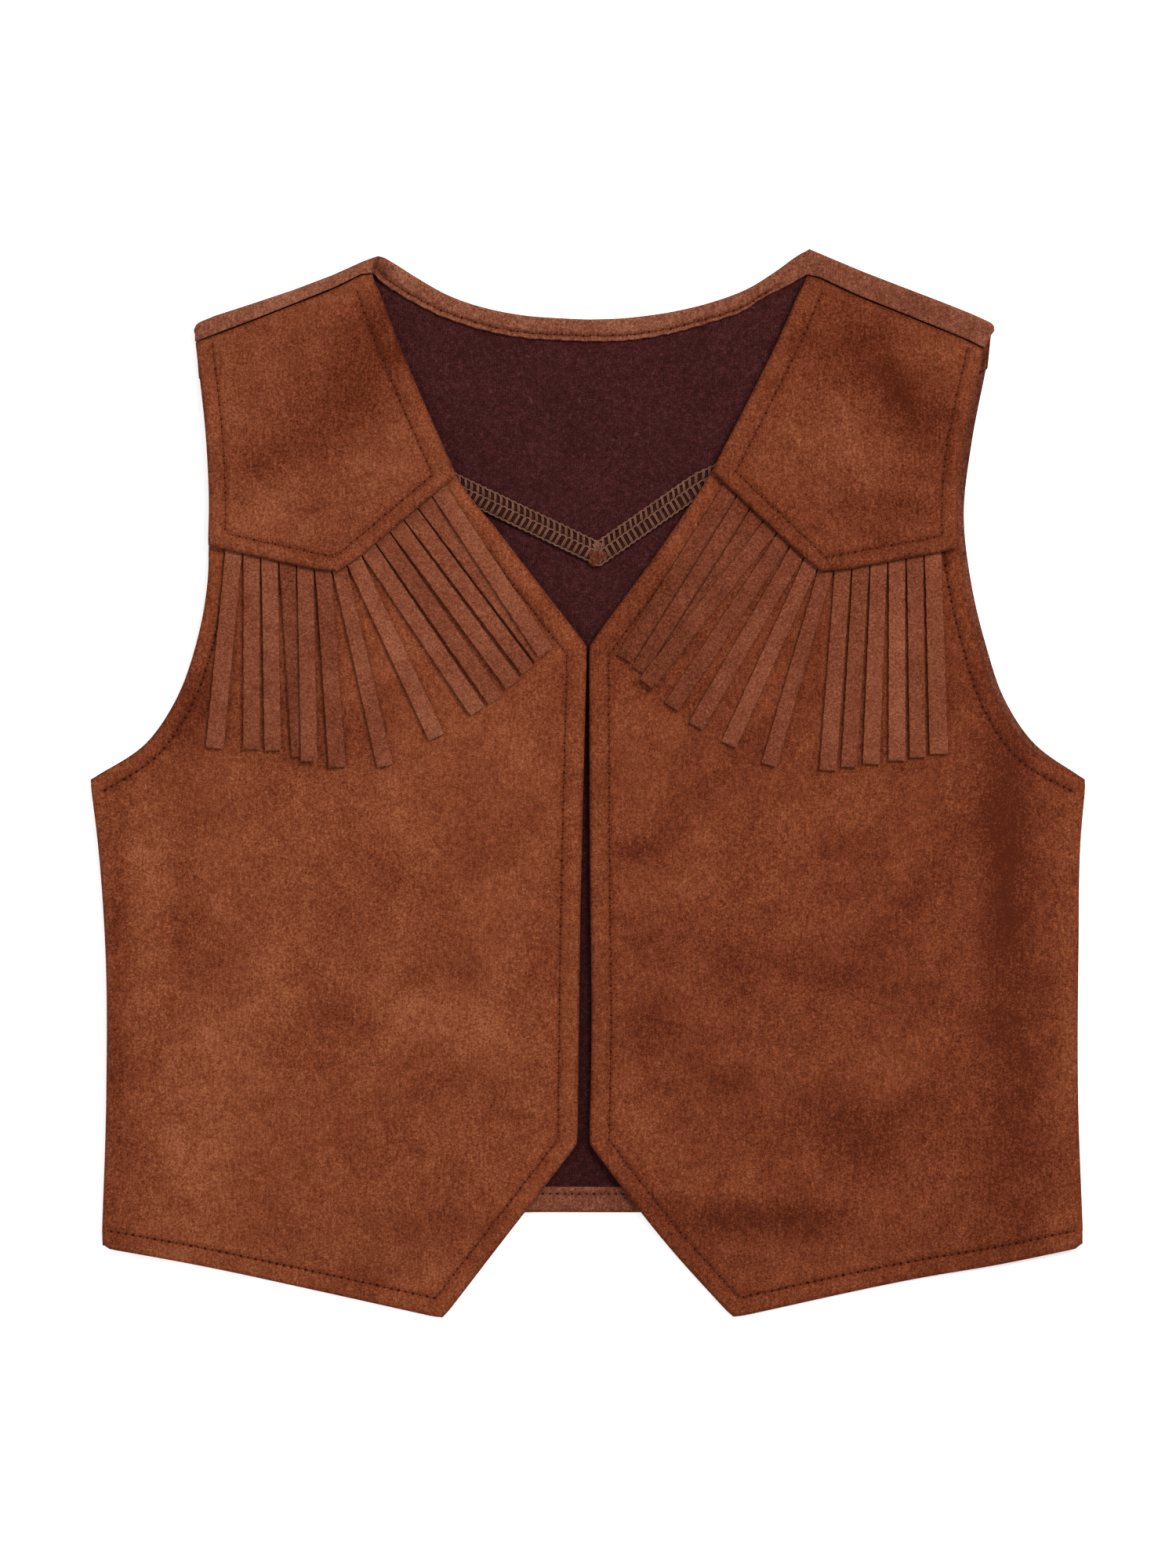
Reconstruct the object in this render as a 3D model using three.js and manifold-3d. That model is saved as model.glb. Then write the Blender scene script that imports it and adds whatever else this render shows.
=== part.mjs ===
// Western vest in brown suede cloth, laid flat on a table with its front up.
// Sizes are in millimetres. X runs to the viewer's right, Y towards the shoulders, Z up from the table.
// Right and left pieces are named as the wearer has them, so the right front lies at -X.

import * as THREE from 'three';
import { mergeVertices } from 'three/addons/utils/BufferGeometryUtils.js';
import Module from 'manifold-3d';

const wasm = await Module();
wasm.setup();

// Driving dimensions
const CLOTH = 1.1; // one layer of suede cloth
const TURN = 0.6; // what a turned hem adds on the inner face
const HEM_WIDTH = 6.4; // from a turned edge to where the turned layer ends
const HEM_STEP = 1.2; // over which the turned layer runs out
const SEAM_GAP = 0.4; // between two pieces that are sewn together
const LAYER_GAP = 0.43; // between a front and the fringe's strip on it
const YOKE_GAP = 0.7; // between a front's level and the underside of its yoke's edge
const STRAND_GAP = 0.75; // between a front and the free strands on it
const FRONT_TOP = 4.6; // top of the fronts above the table
const SHOULDER_TOP = 4.8; // top of the front yokes at the shoulder seams
const YOKE_CREST = 0.6; // how far the front yokes swell between their edges
const SIDE_ROLL = 1.25; // how far a side edge curls towards the layer that it is sewn to
const ROLL_WIDTH = 1.6; // breadth of that curl
const ROLL_INSET = 0.5; // from the outline to the middle of a curled wall
const TUCK_DEPTH = 1.3; // how far a front dips under its yoke
const TUCK_WIDTH = 7; // how far a front and its fringe strip reach under the yoke
const TUCK_RISE = 3; // over which the front comes up again outside the yoke's edge
const TIP_DROP = 2.6; // how far the points of the fronts sink past the back's hem
const DROP_START = 4; // above the back's hem, where that sinking starts
const DROP_RUN = 24; // over which they sink
const SIDE_CALM = 14; // swells fade out this close to the side seams
const SHOULDER_RUN = 30; // from a shoulder seam to the full swell of its yoke
const YOKE_RUN = 12; // over which a yoke comes down behind its turned lower edge
const YOKE_SWELL_SHARE = 0.5; // of the fronts' swells that the yokes take up
const EDGE_THINNING = 0.2; // a cut or turned edge is this much thinner on each face

// Fringe
const STRAND_PITCH = 7; // along the yoke's edge
const STRAND_SLIT = 0.5; // between two strands at their roots
const STRAND_THICKNESS = 1;
const STRIP_INSET = 1.2; // from the yoke's edge to the fringe's strip
const STRIP_WIDTH = 4.4;
const STRIP_COVER = 0.05; // of the strip's thickness over and under the strands' roots

// Seam allowance inside the back
const ALLOWANCE_WIDTH = 8;
const ALLOWANCE_GAP = 0.3;

const SUEDE = { color: 0x7a3f27, roughness: 0.95, metalness: 0 };
const SUEDE_SHADE = { color: 0x72402b, roughness: 0.95, metalness: 0 };
const INNER_FACE = { color: 0x41201f, roughness: 0.98, metalness: 0 };

// Edge treatments of a run: a turned hem, a plain seam, a curled side seam and a tuck under a yoke
const TURNED = { turn: 1, roll: 0, tuck: 0 };
const PLAIN = { turn: 0, roll: 0, tuck: 0 };
const CURLED = { turn: 0, roll: 1, tuck: 0 };
const TUCKED = { turn: 0, roll: 0, tuck: 1 };

// Soft swells and hollows of the fronts. Columns: centre x, centre y, half length, half width,
// turn of the long axis in degrees from X, height.
const SWELLS = [
  [-44, 96, 62, 34, 128, 0.85],
  [42, 100, 62, 34, 52, 0.85],
  [-118, 30, 70, 36, 78, 0.35],
  [112, 26, 64, 40, 100, 0.3],
  [-92, -66, 74, 46, 64, 0.45],
  [-44, -112, 46, 15, 56, -0.3],
  [-150, -86, 60, 15, 84, -0.25],
  [70, -72, 78, 40, 112, 0.45],
  [145, -52, 68, 12, 91, -0.35],
  [102, -138, 52, 20, 160, -0.25],
];

// Side edges of the whole vest from the hem up to the underarm, then the armholes up to the shoulders
const RIGHT_SIDE = [[-186, -176.5], [-184.2, -119], [-184.6, -62], [-187.6, -21], [-190.4, 1.5]];
const LEFT_SIDE = [[189.4, -175.5], [187.4, -119], [187.6, -62], [188.4, -21], [190.4, 1.5]];
const RIGHT_ARMHOLE = [
  [-190.4, 1.5], [-168, 16.5], [-157.8, 31.5], [-149.6, 54], [-145.4, 77], [-144.8, 103], [-145.8, 130],
];
const LEFT_ARMHOLE = [
  [190.4, 1.5], [169.8, 16.5], [159.8, 31.5], [152, 54], [146.6, 77], [143.8, 103], [146.7, 130],
];
// On the left the front lies a little further in than the back, whose armhole shows beside it
const LEFT_FRONT_ARMHOLE = [
  [190.4, 1.5], [167.4, 15.5], [157.4, 30.5], [149.4, 54], [144, 77],
];

// V seam of the back yoke, from the wearer's right armhole down to its point and up again
const V_POINT = [4.4, 82.5];
const RIGHT_V = [[-148.4, 155.7], V_POINT];
const LEFT_V = [V_POINT, [44.6, 110.5], [151.4, 159]];

// Hem of the back, which lies above the points of the fronts
const BACK_HEM_CENTRE = -163.8;
const BACK_HEM_SIDE = -176.5;
const BACK_HEM_FLAT = 24; // half length of the straight stretch in the middle
const SIDE_REACH = 186;

function smooth(t) {
  const s = Math.min(Math.max(t, 0), 1);
  return s * s * (3 - 2 * s);
}

function backHemY(x) {
  const share = smooth((Math.abs(x) - BACK_HEM_FLAT) / (SIDE_REACH - BACK_HEM_FLAT));
  return BACK_HEM_CENTRE + (BACK_HEM_SIDE - BACK_HEM_CENTRE) * share;
}

function swellHeight(x, y) {
  let height = 0;
  for (const [centreX, centreY, halfLength, halfWidth, degrees, rise] of SWELLS) {
    const turn = THREE.MathUtils.degToRad(degrees);
    const along = (x - centreX) * Math.cos(turn) + (y - centreY) * Math.sin(turn);
    const across = (y - centreY) * Math.cos(turn) - (x - centreX) * Math.sin(turn);
    height += rise * Math.exp(-((along / halfLength) ** 2) - (across / halfWidth) ** 2);
  }
  return height;
}

// Height of the fronts' outer face above the table
function frontLevel(x, y) {
  const pastHem = smooth((backHemY(x) - y + DROP_START) / DROP_RUN);
  const nearSide = smooth((SIDE_REACH - Math.abs(x)) / SIDE_CALM);
  return FRONT_TOP + swellHeight(x, y) * nearSide - TIP_DROP * pastHem;
}

function distanceToPath(x, y, path) {
  let nearest = Infinity;
  for (let i = 1; i < path.length; i += 1) {
    const [startX, startY] = path[i - 1];
    const [endX, endY] = path[i];
    const spanX = endX - startX;
    const spanY = endY - startY;
    const share = ((x - startX) * spanX + (y - startY) * spanY) / (spanX * spanX + spanY * spanY);
    const held = Math.min(Math.max(share, 0), 1);
    nearest = Math.min(nearest, Math.hypot(x - startX - held * spanX, y - startY - held * spanY));
  }
  return nearest;
}

// Height of a front yoke's outer face: it lies over the front and fringe at its lower edge
function yokeLevel(x, y, yoke) {
  const fromShoulder = smooth(distanceToPath(x, y, yoke.shoulder) / SHOULDER_RUN);
  const fromEdge = smooth((distanceToPath(x, y, yoke.lowerEdge) - HEM_WIDTH) / YOKE_RUN);
  const open = SHOULDER_TOP + YOKE_CREST * fromShoulder + YOKE_SWELL_SHARE * swellHeight(x, y);
  const overFront = frontLevel(x, y) + YOKE_GAP + CLOTH + TURN;
  return overFront + (open - overFront) * fromEdge;
}

function spacedPoints(knots, steps) {
  const curve = new THREE.SplineCurve(knots.map(([x, y]) => new THREE.Vector2(x, y)));
  return curve.getSpacedPoints(steps);
}

// A point where two edges meet: the turned layer is left out where the cloth is curled or tucked
function cornerPoint(first, second) {
  const roll = Math.max(first.roll, second.roll);
  const tuck = Math.max(first.tuck, second.tuck);
  const turn = roll + tuck > 0 ? 0 : Math.max(first.turn, second.turn);
  return { x: first.x, y: first.y, turn, roll, tuck };
}

// One side of a panel: its runs joined end to end, each point with the treatment of its edge
function sidePoints(runs) {
  const points = [];
  for (const { knots, steps, edge } of runs) {
    spacedPoints(knots, steps).forEach((point, index) => {
      const here = { x: point.x, y: point.y, ...edge };
      if (index > 0 || points.length === 0) points.push(here);
      else points[points.length - 1] = cornerPoint(points[points.length - 1], here);
    });
  }
  return points;
}

// The four sides as one ring: bottom from outer to inner corner, inner side up, top back, outer side down
function ringOf({ bottom, inner, top, outer }) {
  const columns = bottom.length - 1;
  const rows = outer.length - 1;
  const ring = [cornerPoint(bottom[0], outer[0]), ...bottom.slice(1, columns)];
  ring.push(cornerPoint(inner[0], bottom[columns]), ...inner.slice(1, rows));
  ring.push(cornerPoint(top[columns], inner[rows]), ...top.slice(1, columns).reverse());
  ring.push(cornerPoint(outer[rows], top[0]), ...outer.slice(1, rows).reverse());
  return ring;
}

function signedArea(ring) {
  return ring.reduce((sum, point, index) => {
    const next = ring[(index + 1) % ring.length];
    return sum + (point.x * next.y - next.x * point.y) / 2;
  }, 0);
}

// A ring moved inwards by a distance, with mitred corners
function insetRing(ring, distance) {
  const side = Math.sign(signedArea(ring));
  return ring.map((point, index) => {
    const before = ring[(index + ring.length - 1) % ring.length];
    const after = ring[(index + 1) % ring.length];
    const lengthBefore = Math.hypot(point.x - before.x, point.y - before.y);
    const lengthAfter = Math.hypot(after.x - point.x, after.y - point.y);
    const normalBefore = [
      (-side * (point.y - before.y)) / lengthBefore,
      (side * (point.x - before.x)) / lengthBefore,
    ];
    const normalAfter = [
      (-side * (after.y - point.y)) / lengthAfter,
      (side * (after.x - point.x)) / lengthAfter,
    ];
    const sumX = normalBefore[0] + normalAfter[0];
    const sumY = normalBefore[1] + normalAfter[1];
    const reach = 2 / (sumX * sumX + sumY * sumY);
    const moved = distance + point.roll * ROLL_INSET;
    return { ...point, x: point.x + sumX * reach * moved, y: point.y + sumY * reach * moved };
  });
}

function rollDrop(distance) {
  const share = Math.min(distance / ROLL_WIDTH, 1);
  return SIDE_ROLL * (1 - Math.sqrt(1 - (1 - share) ** 2));
}

function tuckDrop(distance) {
  const past = distance - HEM_WIDTH - HEM_STEP;
  return TUCK_DEPTH * (1 - Math.min(Math.max(past / TUCK_RISE, 0), 1));
}

// Middle surface of a panel as a grid of nodes: rings along its edges, then a patch inside them
function panelNodes(panel) {
  const ring = ringOf(panel);
  const columns = panel.bottom.length - 1;
  const rows = panel.outer.length - 1;
  const curl = panel.innerFaceUp ? 1 : -1;
  const nodes = [];
  const rings = panel.distances.map((distance) => insetRing(ring, distance).map((point) => {
    const level = panel.level(point.x, point.y) - CLOTH / 2;
    const turned = distance <= HEM_WIDTH ? point.turn : 0;
    nodes.push({
      place: new THREE.Vector3(
        point.x,
        point.y,
        level + curl * point.roll * rollDrop(distance) - point.tuck * tuckDrop(distance),
      ),
      extra: turned * TURN,
      thinning: distance === 0 ? EDGE_THINNING : 0,
    });
    return nodes.length - 1;
  }));
  const border = rings[rings.length - 1];
  const at = (index) => nodes[border[(index + border.length) % border.length]].place;
  const bottomAt = (column) => at(column);
  const innerAt = (row) => at(columns + row);
  const topAt = (column) => at(2 * columns + rows - column);
  const outerAt = (row) => at(2 * columns + 2 * rows - row);
  const grid = [];
  for (let row = 0; row <= rows; row += 1) {
    grid.push([]);
    for (let column = 0; column <= columns; column += 1) {
      if (row === 0) grid[row].push(border[column]);
      else if (row === rows) grid[row].push(border[2 * columns + rows - column]);
      else if (column === 0) grid[row].push(border[2 * columns + 2 * rows - row]);
      else if (column === columns) grid[row].push(border[columns + row]);
      else {
        const u = column / columns;
        const v = row / rows;
        const blend = (key) => (1 - v) * bottomAt(column)[key] + v * topAt(column)[key]
          + (1 - u) * outerAt(row)[key] + u * innerAt(row)[key]
          - (1 - u) * (1 - v) * bottomAt(0)[key] - u * (1 - v) * bottomAt(columns)[key]
          - (1 - u) * v * topAt(0)[key] - u * v * topAt(columns)[key];
        const x = blend('x');
        const y = blend('y');
        nodes.push({ place: new THREE.Vector3(x, y, panel.level(x, y) - CLOTH / 2), extra: 0, thinning: 0 });
        grid[row].push(nodes.length - 1);
      }
    }
  }
  return { nodes, rings, grid };
}

function quadsBetween(lines, closed) {
  const quads = [];
  for (let i = 1; i < lines.length; i += 1) {
    const count = lines[i].length;
    for (let j = 0; j < (closed ? count : count - 1); j += 1) {
      const k = (j + 1) % count;
      quads.push([lines[i - 1][j], lines[i - 1][k], lines[i][k], lines[i][j]]);
    }
  }
  return quads;
}

// A wall of cloth round a middle surface: each node moved out along its normal on both faces
function wallGeometry(nodes, quads, rim, innerFaceUp) {
  const normals = nodes.map(() => new THREE.Vector3());
  for (const quad of quads) {
    const [a, b, c, d] = quad.map((index) => nodes[index].place);
    const normal = new THREE.Vector3().subVectors(c, a).cross(new THREE.Vector3().subVectors(d, b));
    quad.forEach((index) => normals[index].add(normal));
  }
  const positions = [];
  for (const face of [1, -1]) {
    nodes.forEach(({ place, extra, thinning }, index) => {
      const inner = innerFaceUp === (face > 0);
      const reach = CLOTH / 2 - thinning + (inner ? extra : 0);
      const point = normals[index].clone().normalize().multiplyScalar(face * reach).add(place);
      positions.push(point.x, point.y, point.z);
    });
  }
  const under = nodes.length;
  const triangles = [];
  for (const [a, b, c, d] of quads) {
    triangles.push(a, b, c, a, c, d);
    triangles.push(under + a, under + c, under + b, under + a, under + d, under + c);
  }
  rim.forEach((a, index) => {
    const b = rim[(index + 1) % rim.length];
    triangles.push(a, under + a, under + b, a, under + b, b);
  });
  const geometry = new THREE.BufferGeometry();
  geometry.setAttribute('position', new THREE.Float32BufferAttribute(positions, 3));
  geometry.setIndex(triangles);
  return geometry;
}

function panelGeometry(panel) {
  const { nodes, rings, grid } = panelNodes(panel);
  const mirrored = signedArea(ringOf(panel)) < 0;
  const quads = [...quadsBetween(rings, true), ...quadsBetween(grid, false)];
  const facing = mirrored ? quads.map((quad) => quad.slice().reverse()) : quads;
  const rim = mirrored ? rings[0].slice().reverse() : rings[0];
  return wallGeometry(nodes, facing, rim, panel.innerFaceUp);
}

const HEM_RINGS = [0, 0.5, ROLL_WIDTH, HEM_WIDTH, HEM_WIDTH + HEM_STEP];

// Lower back: hem, side seams, lower armholes and the V seam along its top
function backGeometry() {
  const hemLine = (from, to) => [0, 0.25, 0.5, 0.75, 1].map((share) => {
    const x = from + (to - from) * share;
    return [x, backHemY(x)];
  });
  return panelGeometry({
    bottom: sidePoints([
      { knots: hemLine(RIGHT_SIDE[0][0], 0), steps: 7, edge: TURNED },
      { knots: hemLine(0, LEFT_SIDE[0][0]), steps: 7, edge: TURNED },
    ]),
    outer: sidePoints([
      { knots: RIGHT_SIDE, steps: 8, edge: CURLED },
      { knots: [...RIGHT_ARMHOLE, RIGHT_V[0]], steps: 10, edge: TURNED },
    ]),
    inner: sidePoints([
      { knots: LEFT_SIDE, steps: 8, edge: CURLED },
      { knots: [...LEFT_ARMHOLE, LEFT_V[LEFT_V.length - 1]], steps: 10, edge: TURNED },
    ]),
    top: sidePoints([
      { knots: RIGHT_V, steps: 7, edge: PLAIN },
      { knots: LEFT_V.slice(0, 2), steps: 2, edge: PLAIN },
      { knots: LEFT_V.slice(1), steps: 5, edge: PLAIN },
    ]),
    distances: HEM_RINGS,
    level: () => CLOTH,
    innerFaceUp: true,
  });
}

// Sections of the back yoke from the wearer's right armhole to the left one. Each runs up from the V seam,
// round the fold at the top and down again: 1.8 mm folds over the shoulders, tight ones along the neck hem.
// Columns: x and y of the fold, x and y of the free edge after it, fold radius, x at the V seam, turned share.
const FOLD_COLUMN = 0;
const FREE_EDGE_COLUMN = 2;
const YOKE_SECTIONS = [
  [-150.2, 176.1, -150.0, 169.2, 1.8, -148.6, 1],
  [-144.0, 178.5, -143.8, 171.6, 1.8, -142.2, 1],
  [-142.8, 179.0, -142.6, 172.0, 1.8, -140.8, 0],
  [-127.7, 183.9, -127.4, 177.6, 1.8, -123, 0],
  [-112.7, 188.9, -112.2, 183.6, 1.8, -103, 0],
  [-97.7, 194.6, -97.2, 189.6, 1.8, -85, 0],
  [-86.2, 199.8, -86.6, 194.3, 1.7, -71, 0],
  [-80.3, 202.0, -82.2, 196.2, 1.2, -64, 0],
  [-74.9, 199.6, -78.9, 191.8, 0.8, -58, 0],
  [-66.0, 194.0, -70.4, 186.2, 0.75, -50, 0],
  [-54.0, 187.2, -57.4, 179.4, 0.75, -40, 0],
  [-40.5, 182.4, -42.6, 174.2, 0.75, -29, 0],
  [-24.0, 179.2, -25.0, 170.6, 0.75, -17, 0],
  [-5.0, 177.9, -5.2, 169.4, 0.75, -5, 0],
  [4.4, 177.8, 4.4, 169.2, 0.75, 4.4, 0],
  [16.0, 178.4, 15.6, 169.6, 0.75, 13, 0],
  [32.0, 180.6, 30.6, 172.0, 0.75, 24, 0],
  [47.0, 184.2, 44.8, 175.8, 0.75, 35, 0],
  [60.5, 189.2, 58.0, 180.2, 0.75, 44.6, 0],
  [71.0, 195.6, 67.6, 186.2, 0.75, 55, 0],
  [79.6, 201.8, 77.0, 190.8, 0.8, 62, 0],
  [84.6, 204.6, 83.6, 195.6, 1.2, 67, 0],
  [90.2, 202.2, 88.4, 193.4, 1.7, 73, 0],
  [104.9, 196.0, 102.9, 186.8, 1.8, 88, 0],
  [119.9, 190.2, 117.6, 180.9, 1.8, 106, 0],
  [134.9, 184.5, 132.4, 174.9, 1.8, 126, 0],
  [147.6, 179.4, 144.2, 169.7, 1.8, 143.2, 0],
  [148.9, 178.8, 145.4, 169.2, 1.8, 144.8, 1],
  [155.6, 175.5, 151.4, 166.4, 1.8, 151.8, 1],
];

function vSeamY(x) {
  const line = x < V_POINT[0] ? RIGHT_V : LEFT_V;
  for (let i = 1; i < line.length; i += 1) {
    if (x <= line[i][0] || i === line.length - 1) {
      const share = (x - line[i - 1][0]) / (line[i][0] - line[i - 1][0]);
      return line[i - 1][1] + (line[i][1] - line[i - 1][1]) * share;
    }
  }
  return line[0][1];
}

// Outward direction of the yoke's top fold at one section, halfway between its two neighbours. The free
// edge has its own, two columns further on.
function outwardAt(index, column) {
  const before = YOKE_SECTIONS[Math.max(index - 1, 0)];
  const here = YOKE_SECTIONS[index];
  const after = YOKE_SECTIONS[Math.min(index + 1, YOKE_SECTIONS.length - 1)];
  const first = new THREE.Vector2(before[column + 1] - here[column + 1], here[column] - before[column]);
  const second = new THREE.Vector2(here[column + 1] - after[column + 1], after[column] - here[column]);
  return first.normalize().add(second.normalize()).normalize();
}

// Top edge of a front yoke: it follows the free edge of the back yoke's fold, a seam's gap away from it
function shoulderSeam(indices) {
  return indices.map((index) => {
    const outward = outwardAt(index, FREE_EDGE_COLUMN);
    const [edgeX, edgeY] = YOKE_SECTIONS[index].slice(FREE_EDGE_COLUMN);
    return [edgeX - outward.x * SEAM_GAP, edgeY - outward.y * SEAM_GAP];
  });
}

function backYokeGeometry() {
  const flatSteps = 4;
  const foldSteps = 6;
  const nodes = [];
  const lines = YOKE_SECTIONS.map(([foldX, foldY, edgeX, edgeY, radius, seamX, turned], index) => {
    const outward = outwardAt(index, FOLD_COLUMN);
    const depth = radius + CLOTH / 2;
    const centreX = foldX - outward.x * depth;
    const centreY = foldY - outward.y * depth;
    const seamY = vSeamY(seamX) + SEAM_GAP;
    const topZ = CLOTH / 2 + 2 * radius;
    const line = [];
    const add = (x, y, z, thinning) => {
      nodes.push({ place: new THREE.Vector3(x, y, z), extra: turned * TURN, thinning });
      line.push(nodes.length - 1);
    };
    for (let step = 0; step < flatSteps; step += 1) {
      const share = step / flatSteps;
      add(seamX + (centreX - seamX) * share, seamY + (centreY - seamY) * share, CLOTH / 2, 0);
    }
    for (let step = 0; step <= foldSteps; step += 1) {
      const angle = (Math.PI * step) / foldSteps;
      const out = radius * Math.sin(angle);
      const z = CLOTH / 2 + radius * (1 - Math.cos(angle));
      add(centreX + outward.x * out, centreY + outward.y * out, z, 0);
    }
    add((centreX + edgeX) / 2, (centreY + edgeY) / 2, topZ, 0);
    add(edgeX, edgeY, topZ, EDGE_THINNING);
    return line;
  });
  const rim = [
    ...lines.map((line) => line[0]),
    ...lines[lines.length - 1].slice(1),
    ...lines.slice(0, -1).reverse().map((line) => line[line.length - 1]),
    ...lines[0].slice(1, -1).reverse(),
  ];
  const quads = quadsBetween(lines, false).map((quad) => quad.slice().reverse());
  return wallGeometry(nodes, quads, rim, true);
}

// A flat band between two rows of points of equal number, from one height function up by a thickness
function bandGeometry(lowRow, highRow, bottomOf, thickness) {
  const rows = [lowRow, highRow];
  const positions = [];
  for (const rise of [thickness, 0]) {
    for (const row of rows) {
      for (const [x, y] of row) positions.push(x, y, bottomOf(x, y) + rise);
    }
  }
  const count = lowRow.length;
  const under = 2 * count;
  const triangles = [];
  const quad = (a, b, c, d) => triangles.push(a, b, c, a, c, d);
  for (let i = 0; i + 1 < count; i += 1) {
    quad(i, i + 1, count + i + 1, count + i);
    quad(under + i, under + count + i, under + count + i + 1, under + i + 1);
    quad(i, under + i, under + i + 1, i + 1);
    quad(count + i, count + i + 1, under + count + i + 1, under + count + i);
  }
  const last = count - 1;
  quad(0, count, under + count, under);
  quad(last, under + last, under + count + last, count + last);
  const geometry = new THREE.BufferGeometry();
  geometry.setAttribute('position', new THREE.Float32BufferAttribute(positions, 3));
  geometry.setIndex(triangles);
  return geometry;
}

// Overcast seam allowance of the V seam, pressed up onto the inner face of the back yoke
function allowanceGeometry() {
  const ends = 12; // kept clear of the armhole hems
  const stations = [-148 + ends, -100, -60, -28, V_POINT[0], 24, LEFT_V[1][0], 76, 112, 151 - ends];
  const lowRow = stations.map((x) => [x, vSeamY(x) + SEAM_GAP]);
  const highRow = lowRow.map(([x, y], index) => {
    const before = lowRow[Math.max(index - 1, 0)];
    const after = lowRow[Math.min(index + 1, lowRow.length - 1)];
    const run = new THREE.Vector2(after[0] - before[0], after[1] - before[1]).normalize();
    return [x - run.y * ALLOWANCE_WIDTH, y + run.x * ALLOWANCE_WIDTH];
  });
  return bandGeometry(lowRow, highRow, () => CLOTH + ALLOWANCE_GAP, CLOTH);
}

// Outlines of the two fronts and their yokes. The fronts reach up under the yokes' lower edges.
const RIGHT_FRONT = {
  hem: [[-186, -177], [-178.5, -179.5], [-118.5, -191], [-55.5, -204.5]],
  diagonal: [[-55.5, -204.5], [-4, -137.5]],
  centre: [[-4, -137.5], [-2.8, -46], [-0.4, 52.8]],
  neckline: [[-0.4, 52.8], [-33.8, 96], [-50.2, 117.8]],
  side: RIGHT_SIDE,
  armhole: RIGHT_ARMHOLE.slice(0, 5),
};
const LEFT_FRONT = {
  hem: [[189.4, -175.5], [181.4, -178.8], [128.9, -188.4], [55.4, -204.2]],
  diagonal: [[55.4, -204.2], [31.4, -177.6], [0.5, -137.7]],
  centre: [[0.5, -137.7], [1.3, -96], [0.8, -39], [0.4, 52.8]],
  neckline: [[0.4, 52.8], [35.9, 102], [47.2, 119.4]],
  side: LEFT_SIDE,
  armhole: LEFT_FRONT_ARMHOLE,
};
const RIGHT_SHOULDER = shoulderSeam([0, 3, 5, 7]);
const LEFT_SHOULDER = shoulderSeam([28, 25, 23, 21]);
const RIGHT_YOKE = {
  lowerEdge: [[-145.1, 91], [-95, 79.9], [-50.2, 117.8]],
  armhole: [[-145.1, 91], [-144.8, 103], [-145.8, 130], RIGHT_SHOULDER[0]],
  neckline: [[-50.2, 117.8], [-62.9, 146.4], [-75, 175.5], RIGHT_SHOULDER[3]],
  shoulder: RIGHT_SHOULDER,
};
const LEFT_YOKE = {
  lowerEdge: [[141.6, 89.8], [89, 80], [47.2, 119.4]],
  armhole: [[141.6, 89.8], [142.1, 113.7], [144.8, 133.8], LEFT_SHOULDER[0]],
  neckline: [[47.2, 119.4], [62.6, 149.4], [72.5, 169.5], LEFT_SHOULDER[3]],
  shoulder: LEFT_SHOULDER,
};

function runBetween(from, to) {
  return new THREE.Vector2(to[0] - from[0], to[1] - from[1]).normalize();
}

// Across a run, on its side towards the shoulders
function uprightOf(run) {
  return run.x > 0 ? new THREE.Vector2(-run.y, run.x) : new THREE.Vector2(run.y, -run.x);
}

// At a corner between two runs, the move that keeps one unit from both
function mitreOf(firstUp, secondUp) {
  const sum = new THREE.Vector2().addVectors(firstUp, secondUp);
  return sum.multiplyScalar(2 / sum.lengthSq());
}

// Top edge of a front: the yoke's lower edge moved up under the yoke, its ends on the armhole and neckline
function tuckedTop(yoke) {
  const [start, corner, end] = yoke.lowerEdge;
  const outerUp = uprightOf(runBetween(start, corner));
  const innerUp = uprightOf(runBetween(corner, end));
  const armholeRun = runBetween(yoke.armhole[0], yoke.armhole[1]);
  const necklineRun = runBetween(yoke.neckline[0], yoke.neckline[1]);
  const moved = ([x, y], direction, distance) => [x + direction.x * distance, y + direction.y * distance];
  return [
    moved(start, armholeRun, TUCK_WIDTH / armholeRun.dot(outerUp)),
    moved(corner, mitreOf(outerUp, innerUp), TUCK_WIDTH),
    moved(end, necklineRun, TUCK_WIDTH / necklineRun.dot(innerUp)),
  ];
}

function frontGeometry(front, yoke) {
  const top = tuckedTop(yoke);
  return panelGeometry({
    bottom: sidePoints([{ knots: front.hem, steps: 7, edge: TURNED }]),
    inner: sidePoints([
      { knots: front.diagonal, steps: 4, edge: TURNED },
      { knots: front.centre, steps: 8, edge: TURNED },
      { knots: [...front.neckline, top[2]], steps: 5, edge: TURNED },
    ]),
    outer: sidePoints([
      { knots: front.side, steps: 8, edge: CURLED },
      { knots: [...front.armhole, top[0]], steps: 9, edge: TURNED },
    ]),
    top: sidePoints([
      { knots: top.slice(0, 2), steps: 3, edge: TUCKED },
      { knots: top.slice(1), steps: 4, edge: TUCKED },
    ]),
    distances: [...HEM_RINGS, HEM_WIDTH + HEM_STEP + TUCK_RISE],
    level: frontLevel,
    innerFaceUp: false,
  });
}

const SHOULDER_STEPS = [2, 3, 1]; // between the knots of a shoulder seam

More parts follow.
